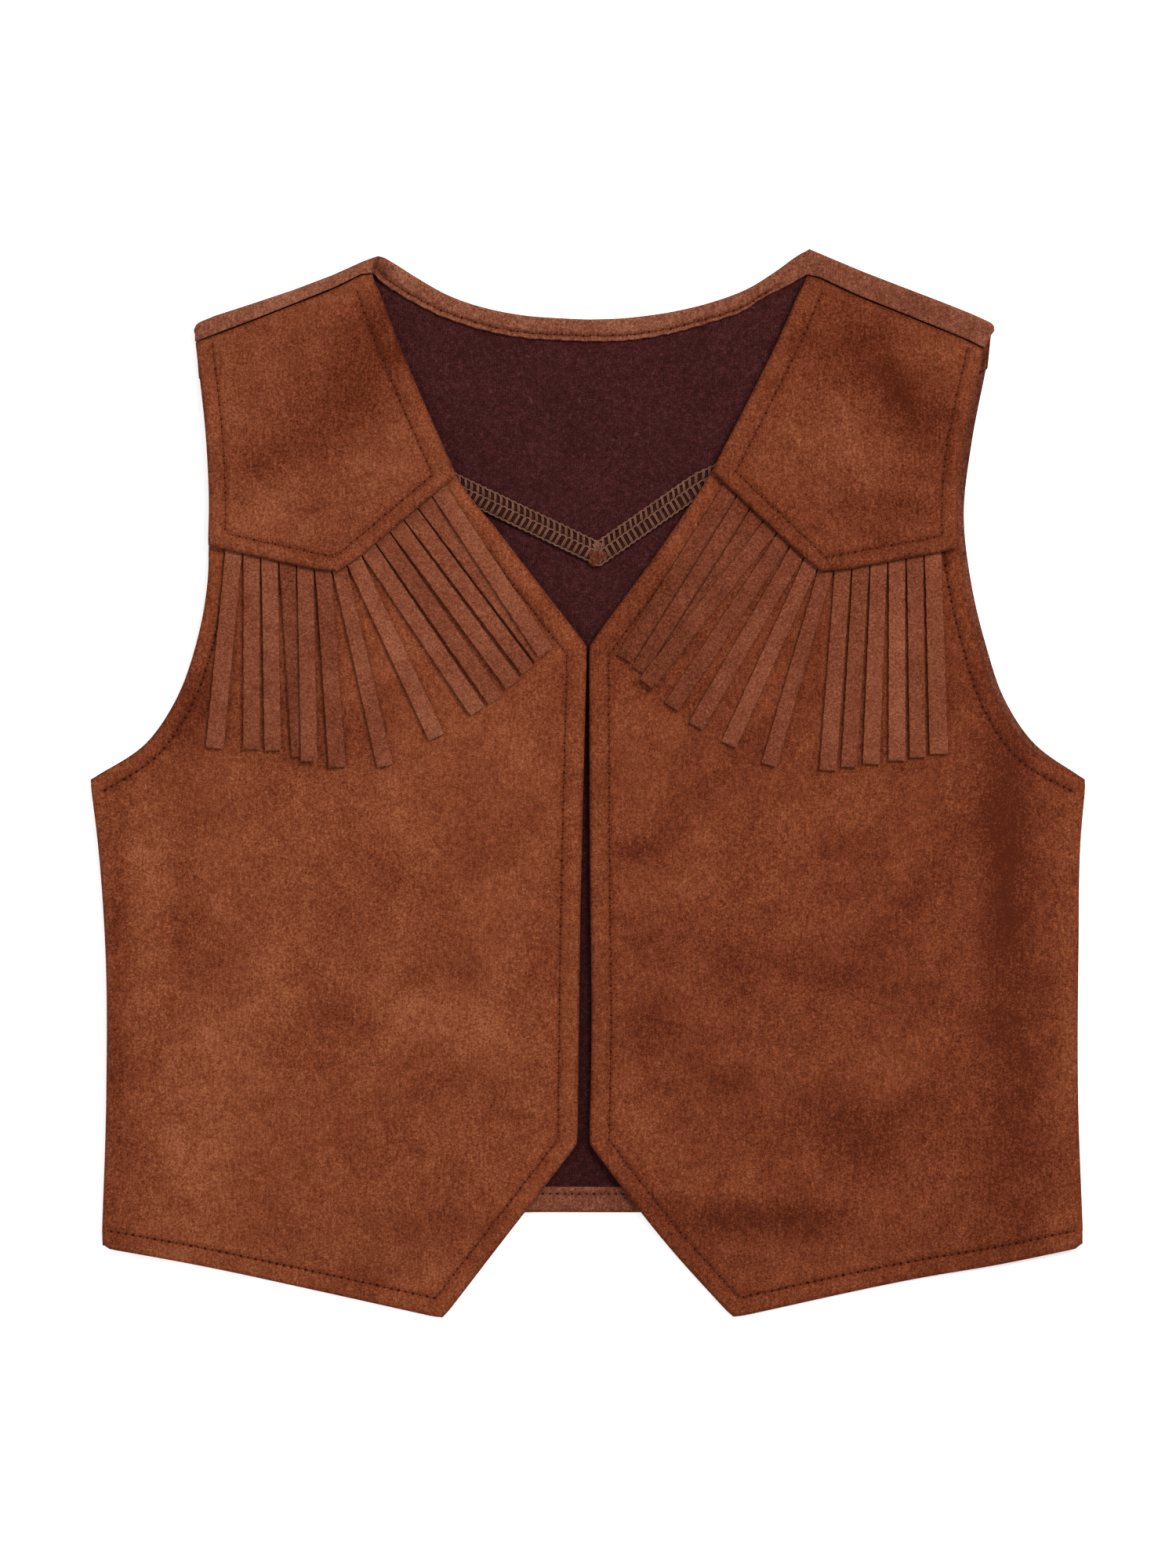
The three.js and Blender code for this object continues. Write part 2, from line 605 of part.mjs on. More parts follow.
function yokeGeometry(yoke) {
  return panelGeometry({
    bottom: sidePoints([
      { knots: yoke.lowerEdge.slice(0, 2), steps: 3, edge: TURNED },
      { knots: yoke.lowerEdge.slice(1), steps: 3, edge: TURNED },
    ]),
    inner: sidePoints([{ knots: yoke.neckline, steps: 5, edge: TURNED }]),
    outer: sidePoints([{ knots: yoke.armhole, steps: 5, edge: TURNED }]),
    top: sidePoints(SHOULDER_STEPS.map((steps, index) => (
      { knots: yoke.shoulder.slice(index, index + 2), steps, edge: PLAIN }
    ))),
    distances: HEM_RINGS,
    level: (x, y) => yokeLevel(x, y, yoke),
    innerFaceUp: false,
  });
}

// Strands of the fringe from the armhole to the neckline. Columns: swing towards the centre front in
// degrees from straight down, length, breadth at the cut end, and how far it lies over its neighbour.
const RIGHT_STRANDS = [
  [-5.5, 75.5, 7.2, 0],
  [0, 74, 6.6, 0],
  [1, 73, 6.6, 0],
  [3.6, 74, 6.2, 0],
  [1.2, 74, 6.6, 1.4],
  [4.1, 75, 6.8, 0],
  [13, 75.5, 6.4, 0],
  [25, 74, 6.8, 0],
  [34, 74.5, 6.8, 0],
  [34.8, 75.5, 6.6, 0],
  [36.4, 75, 6.8, 0],
  [37, 74.5, 6, 0],
  [36.8, 74, 6, 0],
  [33.4, 74, 7, 1.4],
];
const LEFT_STRANDS = [
  [-1.7, 76.5, 7.4, 0],
  [-0.8, 76.5, 6.4, 0],
  [0, 76.5, 6.8, 0],
  [2.2, 76.5, 6.8, 0],
  [3.4, 76.5, 6.4, 0],
  [4.3, 76.5, 6.8, 0],
  [16.3, 76, 6.2, 0],
  [24.4, 75.5, 6.4, 0],
  [30.2, 77, 6.4, 0],
  [33.9, 77, 6.4, 0],
  [38.4, 76.5, 6.8, 1.4],
  [32.5, 75, 5.8, 0],
  [32, 76, 6, 0],
  [32, 76.5, 6.8, 0],
];
const FRINGE_START = 6.6; // from the armhole edge along the yoke's lower edge to the first strand

// The point and the directions at a distance along an open path, measured from its first point
function alongPath(path, distance) {
  let left = distance;
  for (let i = 1; i < path.length; i += 1) {
    const [startX, startY] = path[i - 1];
    const length = Math.hypot(path[i][0] - startX, path[i][1] - startY);
    if (left <= length || i === path.length - 1) {
      const run = runBetween(path[i - 1], path[i]);
      return { x: startX + run.x * left, y: startY + run.y * left, run };
    }
    left -= length;
  }
  return null;
}

// How far a point lies outside a yoke's pointed lower edge, negative under the yoke
function outsideBy(x, y, path) {
  const distances = path.slice(1).map((end, index) => {
    const start = path[index];
    const up = uprightOf(runBetween(start, end));
    return -(up.x * (x - start[0]) + up.y * (y - start[1]));
  });
  return Math.max(...distances);
}

// How far a strand's underside lies over the front's free face, by its distance from the yoke's edge
function strandRise(distance, lift) {
  const tucked = LAYER_GAP + STRIP_COVER - TUCK_DEPTH;
  const risen = Math.min(Math.max((distance - 0.3) / 2.9, 0), 1);
  const lifted = Math.min(Math.max((distance - 2) / 4, 0), 1);
  return tucked + (STRAND_GAP - tucked) * risen + lift * lifted;
}

function strandGeometry(root, [swing, length, tipWidth, lift], towardsCentre, edge) {
  const angle = THREE.MathUtils.degToRad(swing);
  const run = [towardsCentre * Math.sin(angle), -Math.cos(angle)];
  const rootWidth = STRAND_PITCH * Math.abs(run[0] * root.run.y - run[1] * root.run.x) - STRAND_SLIT;
  const stations = [-4, -1.4, 0.3, 1.8, 3.2, 6.2, 26, 50, length];
  const thickness = STRAND_THICKNESS - 2 * STRIP_COVER;
  const positions = [];
  for (const distance of stations) {
    const share = Math.max(distance, 0) / length;
    const half = (rootWidth + (tipWidth - rootWidth) * share) / 2;
    const x = root.x + run[0] * distance;
    const y = root.y + run[1] * distance;
    for (const [sign, rise] of [[-1, 0], [1, 0], [1, thickness], [-1, thickness]]) {
      const cornerX = x - sign * half * run[1];
      const cornerY = y + sign * half * run[0];
      const bottom = frontLevel(cornerX, cornerY) + strandRise(outsideBy(cornerX, cornerY, edge), lift);
      positions.push(cornerX, cornerY, bottom + rise);
    }
  }
  const triangles = [0, 1, 2, 0, 2, 3];
  for (let i = 0; i + 1 < stations.length; i += 1) {
    for (let j = 0; j < 4; j += 1) {
      const a = 4 * i + j;
      const b = 4 * i + ((j + 1) % 4);
      triangles.push(a, a + 4, b + 4, a, b + 4, b);
    }
  }
  const end = 4 * (stations.length - 1);
  triangles.push(end, end + 2, end + 1, end, end + 3, end + 2);
  const geometry = new THREE.BufferGeometry();
  geometry.setAttribute('position', new THREE.Float32BufferAttribute(positions, 3));
  geometry.setIndex(triangles);
  return geometry;
}

function signedVolume(geometry) {
  const position = geometry.getAttribute('position');
  const index = geometry.getIndex();
  const corner = (i) => new THREE.Vector3().fromBufferAttribute(position, index.getX(i));
  let volume = 0;
  for (let i = 0; i < index.count; i += 3) {
    volume += corner(i).dot(corner(i + 1).cross(corner(i + 2))) / 6;
  }
  return volume;
}

function facingOut(geometry) {
  if (signedVolume(geometry) > 0) return geometry;
  const order = Array.from(geometry.getIndex().array);
  for (let i = 0; i < order.length; i += 3) {
    [order[i + 1], order[i + 2]] = [order[i + 2], order[i + 1]];
  }
  geometry.setIndex(order);
  return geometry;
}

function toSolid(geometry) {
  const merged = mergeVertices(facingOut(geometry), 1e-4);
  return new wasm.Manifold(new wasm.Mesh({
    numProp: 3,
    vertProperties: new Float32Array(merged.getAttribute('position').array),
    triVerts: new Uint32Array(merged.getIndex().array),
  }));
}

function fromSolid(solid) {
  const mesh = solid.getMesh();
  const geometry = new THREE.BufferGeometry();
  geometry.setAttribute('position', new THREE.Float32BufferAttribute(mesh.vertProperties, 3));
  geometry.setIndex(Array.from(mesh.triVerts));
  return geometry;
}

// One fringe: a narrow strip under the yoke's lower edge, with its strands cut from it at an even pitch
function fringeGeometry(yoke, strands, towardsCentre) {
  const path = yoke.lowerEdge;
  const corner = Math.hypot(path[1][0] - path[0][0], path[1][1] - path[0][1]);
  const reach = FRINGE_START + strands.length * STRAND_PITCH;
  const stops = [FRINGE_START, (FRINGE_START + corner) / 2, corner, (corner + reach) / 2, reach];
  const mitre = mitreOf(uprightOf(runBetween(path[0], path[1])), uprightOf(runBetween(path[1], path[2])));
  const rowAt = (inset) => stops.map((stop) => {
    const { x, y, run } = alongPath(path, stop);
    const up = stop === corner ? mitre : uprightOf(run);
    return [x + up.x * inset, y + up.y * inset];
  });
  const stripBottom = (x, y) => frontLevel(x, y) + LAYER_GAP - TUCK_DEPTH;
  const lowRow = rowAt(STRIP_INSET);
  const highRow = rowAt(STRIP_INSET + STRIP_WIDTH);
  const strip = bandGeometry(lowRow, highRow, stripBottom, STRAND_THICKNESS);
  let solid = toSolid(strip);
  strands.forEach((strand, index) => {
    const root = alongPath(path, FRINGE_START + (index + 0.5) * STRAND_PITCH);
    solid = solid.add(toSolid(strandGeometry(root, strand, towardsCentre, path)));
  });
  return fromSolid(solid);
}

function piece(name, geometry, look) {
  const mesh = new THREE.Mesh(facingOut(geometry), new THREE.MeshStandardMaterial(look));
  mesh.name = name;
  return mesh;
}

const vest = new THREE.Group();
vest.add(
  piece('back', backGeometry(), INNER_FACE),
  piece('back_yoke', backYokeGeometry(), SUEDE),
  piece('back_seam_allowance', allowanceGeometry(), INNER_FACE),
  piece('front_right', frontGeometry(RIGHT_FRONT, RIGHT_YOKE), SUEDE),
  piece('front_left', frontGeometry(LEFT_FRONT, LEFT_YOKE), SUEDE),
  piece('front_yoke_right', yokeGeometry(RIGHT_YOKE), SUEDE),
  piece('front_yoke_left', yokeGeometry(LEFT_YOKE), SUEDE),
  piece('fringe_right', fringeGeometry(RIGHT_YOKE, RIGHT_STRANDS, 1), SUEDE_SHADE),
  piece('fringe_left', fringeGeometry(LEFT_YOKE, LEFT_STRANDS, -1), SUEDE_SHADE),
);

export default vest;
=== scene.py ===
# Western vest in brown suede cloth, laid flat with its front up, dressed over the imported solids.
# Sizes are in millimetres in the solids' frame and become metres when a mesh is made.
# Right and left pieces are named as the wearer has them, so the right front lies at -X.

import math

import bpy
import numpy as np
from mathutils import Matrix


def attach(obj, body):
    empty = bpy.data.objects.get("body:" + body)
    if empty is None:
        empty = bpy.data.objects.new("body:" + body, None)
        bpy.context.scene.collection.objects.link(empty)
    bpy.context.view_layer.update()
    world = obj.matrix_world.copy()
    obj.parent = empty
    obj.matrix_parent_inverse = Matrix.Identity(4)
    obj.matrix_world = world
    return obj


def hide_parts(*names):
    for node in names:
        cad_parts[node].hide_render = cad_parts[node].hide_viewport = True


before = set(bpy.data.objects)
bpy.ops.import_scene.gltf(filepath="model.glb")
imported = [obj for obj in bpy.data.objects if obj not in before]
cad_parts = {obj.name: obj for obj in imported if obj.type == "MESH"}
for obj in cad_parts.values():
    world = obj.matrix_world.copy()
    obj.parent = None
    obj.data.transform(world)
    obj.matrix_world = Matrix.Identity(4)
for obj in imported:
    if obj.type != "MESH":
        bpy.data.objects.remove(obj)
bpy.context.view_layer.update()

MM = 0.001

# Driving dimensions, the same as the solids have
CLOTH = 1.1  # one layer of suede cloth
TURN = 0.6  # what a turned hem adds on the inner face
HEM_WIDTH = 6.4  # from a turned edge to where the solids' turned layer ends
HEM_STEP = 1.2
SEAM_GAP = 0.4  # between two pieces that are sewn together
SHOULDER_GAP = 0.5  # the same at the shoulders, where the folded strip pulls the seam open
LAYER_GAP = 0.43  # between a front and the fringe's strip on it
YOKE_GAP = 0.7  # between a front's level and the underside of its yoke's edge
STRAND_GAP = 0.75  # between a front and the free strands on it
FRONT_TOP = 4.6  # top of the fronts above the table
SHOULDER_TOP = 4.8  # top of the front yokes at the shoulder seams
YOKE_CREST = 0.6
SIDE_ROLL = 1.25  # how far a side edge curls towards the layer that it is sewn to
ROLL_WIDTH = 1.6
ROLL_INSET = 0.5
TUCK_DEPTH = 1.3  # how far a front dips under its yoke
TUCK_WIDTH = 7
TUCK_RISE = 3
TIP_DROP = 2.6  # how far the points of the fronts sink past the back's hem
DROP_START = 4
DROP_RUN = 24
SIDE_CALM = 14
SHOULDER_RUN = 30
YOKE_RUN = 12
YOKE_SWELL_SHARE = 0.5
EDGE_THINNING = 0.2
BACK_HEM_CENTRE = -163.8
BACK_HEM_SIDE = -176.5
BACK_HEM_FLAT = 24
SIDE_REACH = 186

# Fringe
STRAND_PITCH = 7
STRAND_SLIT = 0.5
STRAND_THICKNESS = 0.9
STRIP_INSET = 1.2
STRIP_WIDTH = 4.4
STRIP_THICKNESS = 1
STRIP_COVER = 0.05
FRINGE_START = 6.6

# Seam allowance inside the back
ALLOWANCE_WIDTH = 8
ALLOWANCE_GAP = 0.3
ALLOWANCE_ENDS = 12

# Finer forms that the dressed cloth adds
GRID_STEP = 2.6  # between the lines of a panel's mesh
RIM_HALF = 0.06  # half of what is left of a rounded edge
CORNER_FADE = 6  # over which a hem runs out beside a seam
GROOVE_DEPTH = 0.45  # how far a row of stitches pulls the cloth in
GROOVE_WIDTH = 0.75
HEM_PUFF = 0.22  # how far the turned layer pushes a hem out
RAW_EDGE = 2.6  # from a row of stitches to the raw edge of the turned layer
GROOVE_SHADE = 0.5  # how much darker a row of stitches is: crushed nap, with painted shade in its groove
EDGE_SHADE = 0.7  # and painted shade along an edge
EDGE_SHADE_WIDTH = 0.9

# Painted shade: the knit of the back is darker where the fronts cover it and shade it
COVER_START = 52
COVER_RUN = 40
COVER_SHADE = 0.2

# Stitches
STITCH_PITCH = 2.8
STITCH_LENGTH = 1.9
STITCH_RADIUS = 0.2
STITCH_SINK = 0.1  # how far a stitch's middle lies over the bottom of its groove
HEM_DIMPLE = 0.55  # radius of the dark disc of painted shade in the dimple that the needle leaves between two stitches
FAINT_DIMPLE = 0.4  # the same where the nap closes over it

# Distances of the stitches from the edges
HEM_STITCH = 7
CENTRE_STITCH = 7.5
DIAGONAL_STITCH = 7
NECKLINE_STITCH = 8.2
ARMHOLE_STITCH = 6.4
YOKE_STITCH = 6
BACK_STITCH = 7
NECK_RAW_STITCH = 2.2  # from the raw edge of the neck hem

# Soft swells and hollows of the fronts, as the solids have them. Columns: centre x, centre y,
# half length, half width, turn of the long axis in degrees from X, height.
SWELLS = [
    (-44, 96, 62, 34, 128, 0.85),
    (42, 100, 62, 34, 52, 0.85),
    (-118, 30, 70, 36, 78, 0.35),
    (112, 26, 64, 40, 100, 0.3),
    (-92, -66, 74, 46, 64, 0.45),
    (-44, -112, 46, 15, 56, -0.3),
    (-150, -86, 60, 15, 84, -0.25),
    (70, -72, 78, 40, 112, 0.45),
    (145, -52, 68, 12, 91, -0.35),
    (102, -138, 52, 20, 160, -0.25),
]
# Smaller creases of the dressed cloth, with the same columns
CREASES = [
    (161, -34, 58, 6, 90, -0.3),
    (172, -60, 80, 5, 88, 0.18),
    (92, -66, 46, 6, 24, -0.22),
    (122, -44, 24, 5, 45, -0.16),
    (68, -166, 32, 5, -2, -0.24),
    (22, -20, 18, 5, 24, -0.2),
    (50, 6, 20, 4.5, 40, -0.16),
    (98, -132, 24, 6, -12, -0.16),
    (-93, -84, 30, 6, 36, -0.18),
    (-58, -126, 26, 6, 118, -0.16),
    (-66, -166, 24, 5, 4, -0.14),
    (-154, -44, 34, 5, 84, -0.16),
    (-150, 26, 24, 6, 58, -0.22),
    (-98, 140, 34, 6, 50, -0.26),
    (117, 152, 22, 6, 122, -0.28),
    (104, 108, 22, 5, 12, -0.14),
]
# Small waves on the inner face of the back, with the same columns
BACK_CREASES = [
    (-20, 150, 40, 7, 18, 0.12),
    (30, 128, 34, 6, 150, 0.1),
    (6, 62, 26, 6, 100, 0.1),
    (-70, 30, 60, 12, 70, 0.12),
    (84, -20, 70, 14, 110, 0.12),
    (-60, -100, 60, 10, 34, 0.12),
    (70, -130, 50, 10, 150, 0.1),
]

# Light and dark nap of the suede, with painted shade and light on its creases and curled sides, and painted shade
# under the fringe's tips and the yokes' edges. Same columns, with the last one from dark to light.
FRONT_NAP_AND_SHADE = [
    (-150, 28, 26, 10, 60, -1.0),
    (-166, -35, 45, 7, 88, 0.5),
    (-180, -80, 90, 4, 90, -0.5),
    (-154, -45, 35, 6, 84, -0.35),
    (-146, -140, 45, 17, 84, 0.6),
    (-128, -92, 26, 16, 60, 0.35),
    (-48, -92, 26, 10, 170, 0.6),
    (-66, -82, 9, 7, 0, 0.35),
    (-62, -70, 22, 6, 40, -0.4),
    (-93, -88, 15, 8, 140, -0.45),
    (-58, -118, 16, 7, 20, -0.45),
    (-72, -135, 14, 8, 120, -0.35),
    (-70, -168, 24, 8, 0, -0.35),
    (-36, -45, 18, 20, 100, 0.2),
    # Painted shade under the tips of the fringe
    (-108, 18, 22, 12, 170, -0.55),
    (-10, 36, 16, 10, 60, -0.25),
    (18, -25, 10, 5, 0, -0.9),
    (45, -2, 24, 6, 42, -0.65),
    (20, 12, 16, 12, 0, 0.4),
    (24, -42, 18, 10, 0, 0.35),
    (56, -70, 22, 8, 0, -0.5),
    (92, -72, 20, 7, -10, -0.5),
    (124, -45, 26, 7, 45, -0.65),
    (62, -82, 9, 7, 0, -0.4),
    (24, -92, 12, 9, 30, -0.5),
    (55, -114, 13, 5, -10, -0.55),
    (98, -128, 20, 9, 0, -0.6),
    (112, -142, 16, 7, 0, -0.4),
    (68, -166, 34, 7, -2, -1.1),
    (160, -22, 60, 10, 90, -1.25),
    (162, -125, 60, 13, 88, -0.9),
    (184, -80, 100, 5, 90, 0.35),
    (14, -135, 14, 18, 90, 0.35),
    (94, -25, 8, 6, 0, -0.3),
    # Painted shadow under the end of the wearer's left yoke's hem, beside its last strand
    (137, 85, 2.8, 2, 0, -1.4),
]
# Nap of the front yokes, with painted shade along their creases. Same columns.
YOKE_NAP_AND_SHADE = [
    (-92, 148, 34, 14, 48, -1.0),
    (-80, 176, 12, 12, 0, -0.8),
    (-126, 122, 16, 8, 50, -0.5),
    (-115, 112, 20, 8, 40, 0.5),
    (-70, 128, 16, 12, 60, 0.3),
    (-142, 150, 8, 26, 0, 0.25),
    (118, 150, 17, 9, 120, -1.3),
    (103, 172, 15, 10, 130, -0.6),
    (88, 170, 10, 8, 0, -0.35),
    (90, 128, 22, 11, 0, 0.45),
    (72, 116, 10, 8, 0, 0.3),
    (108, 104, 18, 6, 10, -0.3),
    (131, 132, 8, 14, 0, -0.4),
]
# The outer face of the back isn't in the photograph, so its nap is of the same kind
BACK_NAP_AND_SHADE = [
    (-120, -60, 60, 18, 70, 0.45),
    (-60, -20, 30, 9, 140, -0.5),
    (-30, -120, 34, 9, 20, -0.55),
    (10, 40, 40, 14, 100, 0.35),
    (70, -60, 30, 8, 50, -0.5),
    (120, -110, 50, 15, 96, 0.4),
    (150, -30, 70, 8, 88, -0.8),
    (-165, -90, 80, 7, 92, -0.6),
    (-80, 130, 34, 12, 40, -0.6),
    (90, 140, 30, 10, 120, -0.7),
    (0, 150, 40, 12, 0, 0.4),
    # Painted shade on the turned hem beside the wearer's left armhole, and a painted shadow line under the front
    # yoke's edge
    (150, 142, 40, 6, 76, -0.9),
    (153.5, 166, 9, 3.5, 68, -1.3),
]
# Nap of the strip along the shoulders and the neck, with painted shade along its creases and a painted shadow pocket
# at the wearer's right neck corner, then the creases themselves, with the same columns
STRIP_NAP_AND_SHADE = [
    (-81.4, 197.6, 4.5, 0.8, 74, -1.6),
    (-78.7, 196, 3.4, 1.7, 140, -1.5),
    (146.3, 173.5, 4.5, 0.8, 69, -0.6),
    (84.6, 200, 4.5, 1, 116, -0.7),
    (-110, 187, 26, 5, 20, 0.2),
    (122, 184, 30, 6, -22, -0.5),
    (20, 176, 40, 8, 0, 0.2),
]
STRIP_CREASES = [
    (-81.4, 197.6, 4.5, 0.9, 74, -0.4),
    (84.6, 200, 4.5, 1.1, 116, -0.25),
    (146.3, 173.5, 4.5, 0.9, 69, -0.2),
]

# Side edges of the whole vest from the hem up to the underarm, then the armholes up to the shoulders
RIGHT_SIDE = [(-186, -176.5), (-184.2, -119), (-184.6, -62), (-187.6, -21), (-190.4, 1.5)]
LEFT_SIDE = [(189.4, -175.5), (187.4, -119), (187.6, -62), (188.4, -21), (190.4, 1.5)]
RIGHT_ARMHOLE = [
    (-190.4, 1.5), (-168, 16.5), (-157.8, 31.5), (-149.6, 54), (-145.4, 77), (-144.8, 103), (-145.8, 130),
]
LEFT_ARMHOLE = [
    (190.4, 1.5), (169.8, 16.5), (159.8, 31.5), (152, 54), (146.6, 77), (143.8, 103), (146.7, 130),
]
LEFT_FRONT_ARMHOLE = [(190.4, 1.5), (167.4, 15.5), (157.4, 30.5), (149.4, 54), (144, 77)]

# V seam of the back yoke
V_POINT = (4.4, 82.5)
RIGHT_V = [(-148.4, 155.7), V_POINT]
LEFT_V = [V_POINT, (44.6, 110.5), (152.4, 159.4)]

RIGHT_FRONT = {
    "hem": [(-186, -177.2), (-149.3, -184), (-109.6, -192.5), (-55.5, -204.5)],
    "diagonal": [(-55.5, -204.5), (-4, -137.5)],
    "centre": [(-4, -137.5), (-2.8, -46), (-0.4, 52.8)],
    "neckline": [(-0.4, 52.8), (-33.8, 96), (-50.2, 117.8)],
    "side": RIGHT_SIDE,
    "armhole": RIGHT_ARMHOLE[:5],
}
LEFT_FRONT = {
    "hem": [(189.5, -177), (155.8, -184), (128.9, -188.6), (55.4, -204.2)],
    "diagonal": [(55.4, -204.2), (31.4, -177.6), (0.5, -137.7)],
    "centre": [(0.5, -137.7), (1.3, -96), (0.8, -39), (0.4, 52.8)],
    "neckline": [(0.4, 52.8), (35.9, 102), (47.2, 119.4)],
    "side": LEFT_SIDE,
    "armhole": LEFT_FRONT_ARMHOLE,
}

# Sections of the back yoke from the wearer's right armhole to the left one, close to the solid's own.
# Columns: x and y of the fold, x and y of the free edge after it, fold radius, x at the V seam, turned share.
YOKE_SECTIONS = [
    (-150.1, 176.0, -150.1, 169.0, 1.8, -148.8, 1),
    (-144.0, 178.5, -143.8, 171.4, 1.8, -142.2, 1),
    (-142.8, 179.0, -142.6, 171.8, 1.8, -140.8, 0),
    (-127.7, 183.9, -127.4, 177.6, 1.8, -123, 0),
    (-112.7, 188.9, -112.2, 183.6, 1.8, -103, 0),
    (-97.7, 194.6, -97.2, 189.6, 1.8, -85, 0),
    (-86.2, 199.8, -86.6, 194.8, 1.7, -71, 0),
    (-80.3, 202.0, -82.2, 195.0, 1.2, -64, 0),
    (-74.9, 199.6, -78.9, 191.8, 0.8, -58, 0),
    (-66.0, 194.0, -70.4, 186.2, 0.75, -50, 0),
    (-54.0, 187.2, -57.4, 179.4, 0.75, -40, 0),
    (-40.5, 182.4, -42.6, 174.2, 0.75, -29, 0),
    (-24.0, 179.2, -25.0, 170.6, 0.75, -17, 0),
    (-5.0, 177.9, -5.2, 169.4, 0.75, -5, 0),
    (4.4, 177.8, 4.4, 169.2, 0.75, 4.4, 0),
    (16.0, 178.4, 15.6, 169.6, 0.75, 13, 0),
    (32.0, 180.6, 30.6, 172.0, 0.75, 24, 0),
    (47.0, 184.2, 44.8, 175.8, 0.75, 35, 0),
    (60.5, 189.2, 58.0, 180.2, 0.75, 44.6, 0),
    (71.0, 195.6, 67.6, 186.2, 0.75, 55, 0),
    (79.6, 201.8, 77.0, 190.8, 0.8, 62, 0),
    (84.6, 204.6, 83.6, 194.6, 1.2, 67, 0),
    (90.2, 202.2, 88.4, 193.6, 1.7, 73, 0),
    (104.9, 196.0, 102.9, 186.8, 1.8, 88, 0),
    (119.9, 190.2, 117.6, 180.9, 1.8, 106, 0),
    (134.9, 184.5, 132.4, 174.9, 1.8, 126, 0),
    (147.6, 179.4, 144.2, 170.1, 1.8, 143.2, 0),
    (148.9, 178.8, 145.4, 169.6, 1.8, 144.8, 1),
    (155.9, 175.5, 151.6, 166.4, 1.8, 152.8, 1),
]


def shoulder_seam(indices):
    """Top edge of a front yoke: it follows the free edge of the back yoke's fold, with the seam between them."""
    free = np.array(YOKE_SECTIONS)[:, 2:4]
    line = []
    for index in indices:
        ahead = np.diff(free[max(index - 1, 0) : index + 2], axis=0)
        ahead /= np.linalg.norm(ahead, axis=1)[:, None]
        outward = np.array([-ahead[:, 1].sum(), ahead[:, 0].sum()])
        line.append(tuple(free[index] - outward / np.linalg.norm(outward) * SHOULDER_GAP))
    return line


RIGHT_SHOULDER = shoulder_seam([0, 2, 3, 4, 5, 6, 7])
LEFT_SHOULDER = shoulder_seam([28, 26, 25, 24, 23, 22, 21])
RIGHT_YOKE = {
    "lower_edge": [(-145.1, 91), (-95, 79.9), (-50.2, 117.8)],
    "armhole": [(-145.1, 91), (-144.8, 103), (-145.8, 130), RIGHT_SHOULDER[0]],
    "neckline": [(-50.2, 117.8), (-62.9, 146.4), (-75, 175.5), RIGHT_SHOULDER[-1]],
    "shoulder": RIGHT_SHOULDER,
}
LEFT_YOKE = {
    "lower_edge": [(141.6, 89.8), (89, 80), (47.2, 119.4)],
    "armhole": [(141.6, 89.8), (141.7, 112.5), (144, 131.5), LEFT_SHOULDER[0]],
    "neckline": [(47.2, 119.4), (62.6, 149.4), (72.5, 169.5), LEFT_SHOULDER[-1]],
    "shoulder": LEFT_SHOULDER,
}

# Strands from the armhole to the neckline. Columns: swing towards the centre front in degrees,
# length, breadth at the cut end, how far it lies over its neighbour, tone of its nap, twist of its free end.
RIGHT_STRANDS = [
    (-5.5, 75.5, 7.2, 0, 0.1, 0.15),
    (0, 74, 6.6, 0, -0.1, -0.2),
    (1, 73, 6.6, 0, 0.05, 0.1),
    (3.6, 74, 6.2, 0, -0.55, -0.15),
    (1.2, 74, 6.6, 1.4, -0.1, 0.2),
    (4.1, 75, 6.8, 0, -0.3, -0.1),
    (13, 75.5, 6.4, 0, 0.05, 0.2),
    (25, 74, 6.8, 0, 0.3, 0.2),
    (34, 74.5, 6.8, 0, 0.2, -0.15),
    (34.8, 75.5, 6.6, 0, -0.05, 0.1),
    (36.4, 75, 6.8, 0, 0.1, -0.1),
    (37, 74.5, 6, 0, 0, 0.1),
    (36.8, 74, 6, 0, -0.1, -0.1),
    (33.4, 74, 7, 1.4, 0.15, 0.2),
]
LEFT_STRANDS = [
    (-1.7, 76.5, 7.4, 0, 0.1, 0.15),
    (-0.8, 76.5, 6.4, 0, -0.1, -0.15),
    (0, 76.5, 6.8, 0, 0.3, 0.1),
    (2.2, 76.5, 6.8, 0, 0.1, -0.1),
    (3.4, 76.5, 6.4, 0, -0.25, 0.15),
    (4.3, 76.5, 6.8, 0, -0.1, -0.15),
    (16.3, 76, 6.2, 0, -0.15, 0.2),
    (24.4, 75.5, 6.4, 0, 0.05, 0.2),
    (30.2, 77, 6.4, 0, -0.15, -0.1),
    (33.9, 77, 6.4, 0, -0.45, 0.1),
    (38.4, 76.5, 6.8, 1.4, -0.55, -0.1),
    (32.5, 75, 5.8, 0, -0.75, 0.1),
    (32, 76, 6, 0, -0.7, -0.1),
    (32, 76.5, 6.8, 0, -0.8, 0.15),
]


def smooth(value):
    held = np.clip(value, 0, 1)
    return held * held * (3 - 2 * held)


def hills(x, y, rows):
    """Sum of long soft hills at many places."""
    total = np.zeros_like(x, dtype=float)
    for centre_x, centre_y, half_length, half_width, degrees, height in rows:
        turn = math.radians(degrees)
        along = (x - centre_x) * math.cos(turn) + (y - centre_y) * math.sin(turn)
        across = (y - centre_y) * math.cos(turn) - (x - centre_x) * math.sin(turn)
        total += height * np.exp(-((along / half_length) ** 2) - (across / half_width) ** 2)
    return total


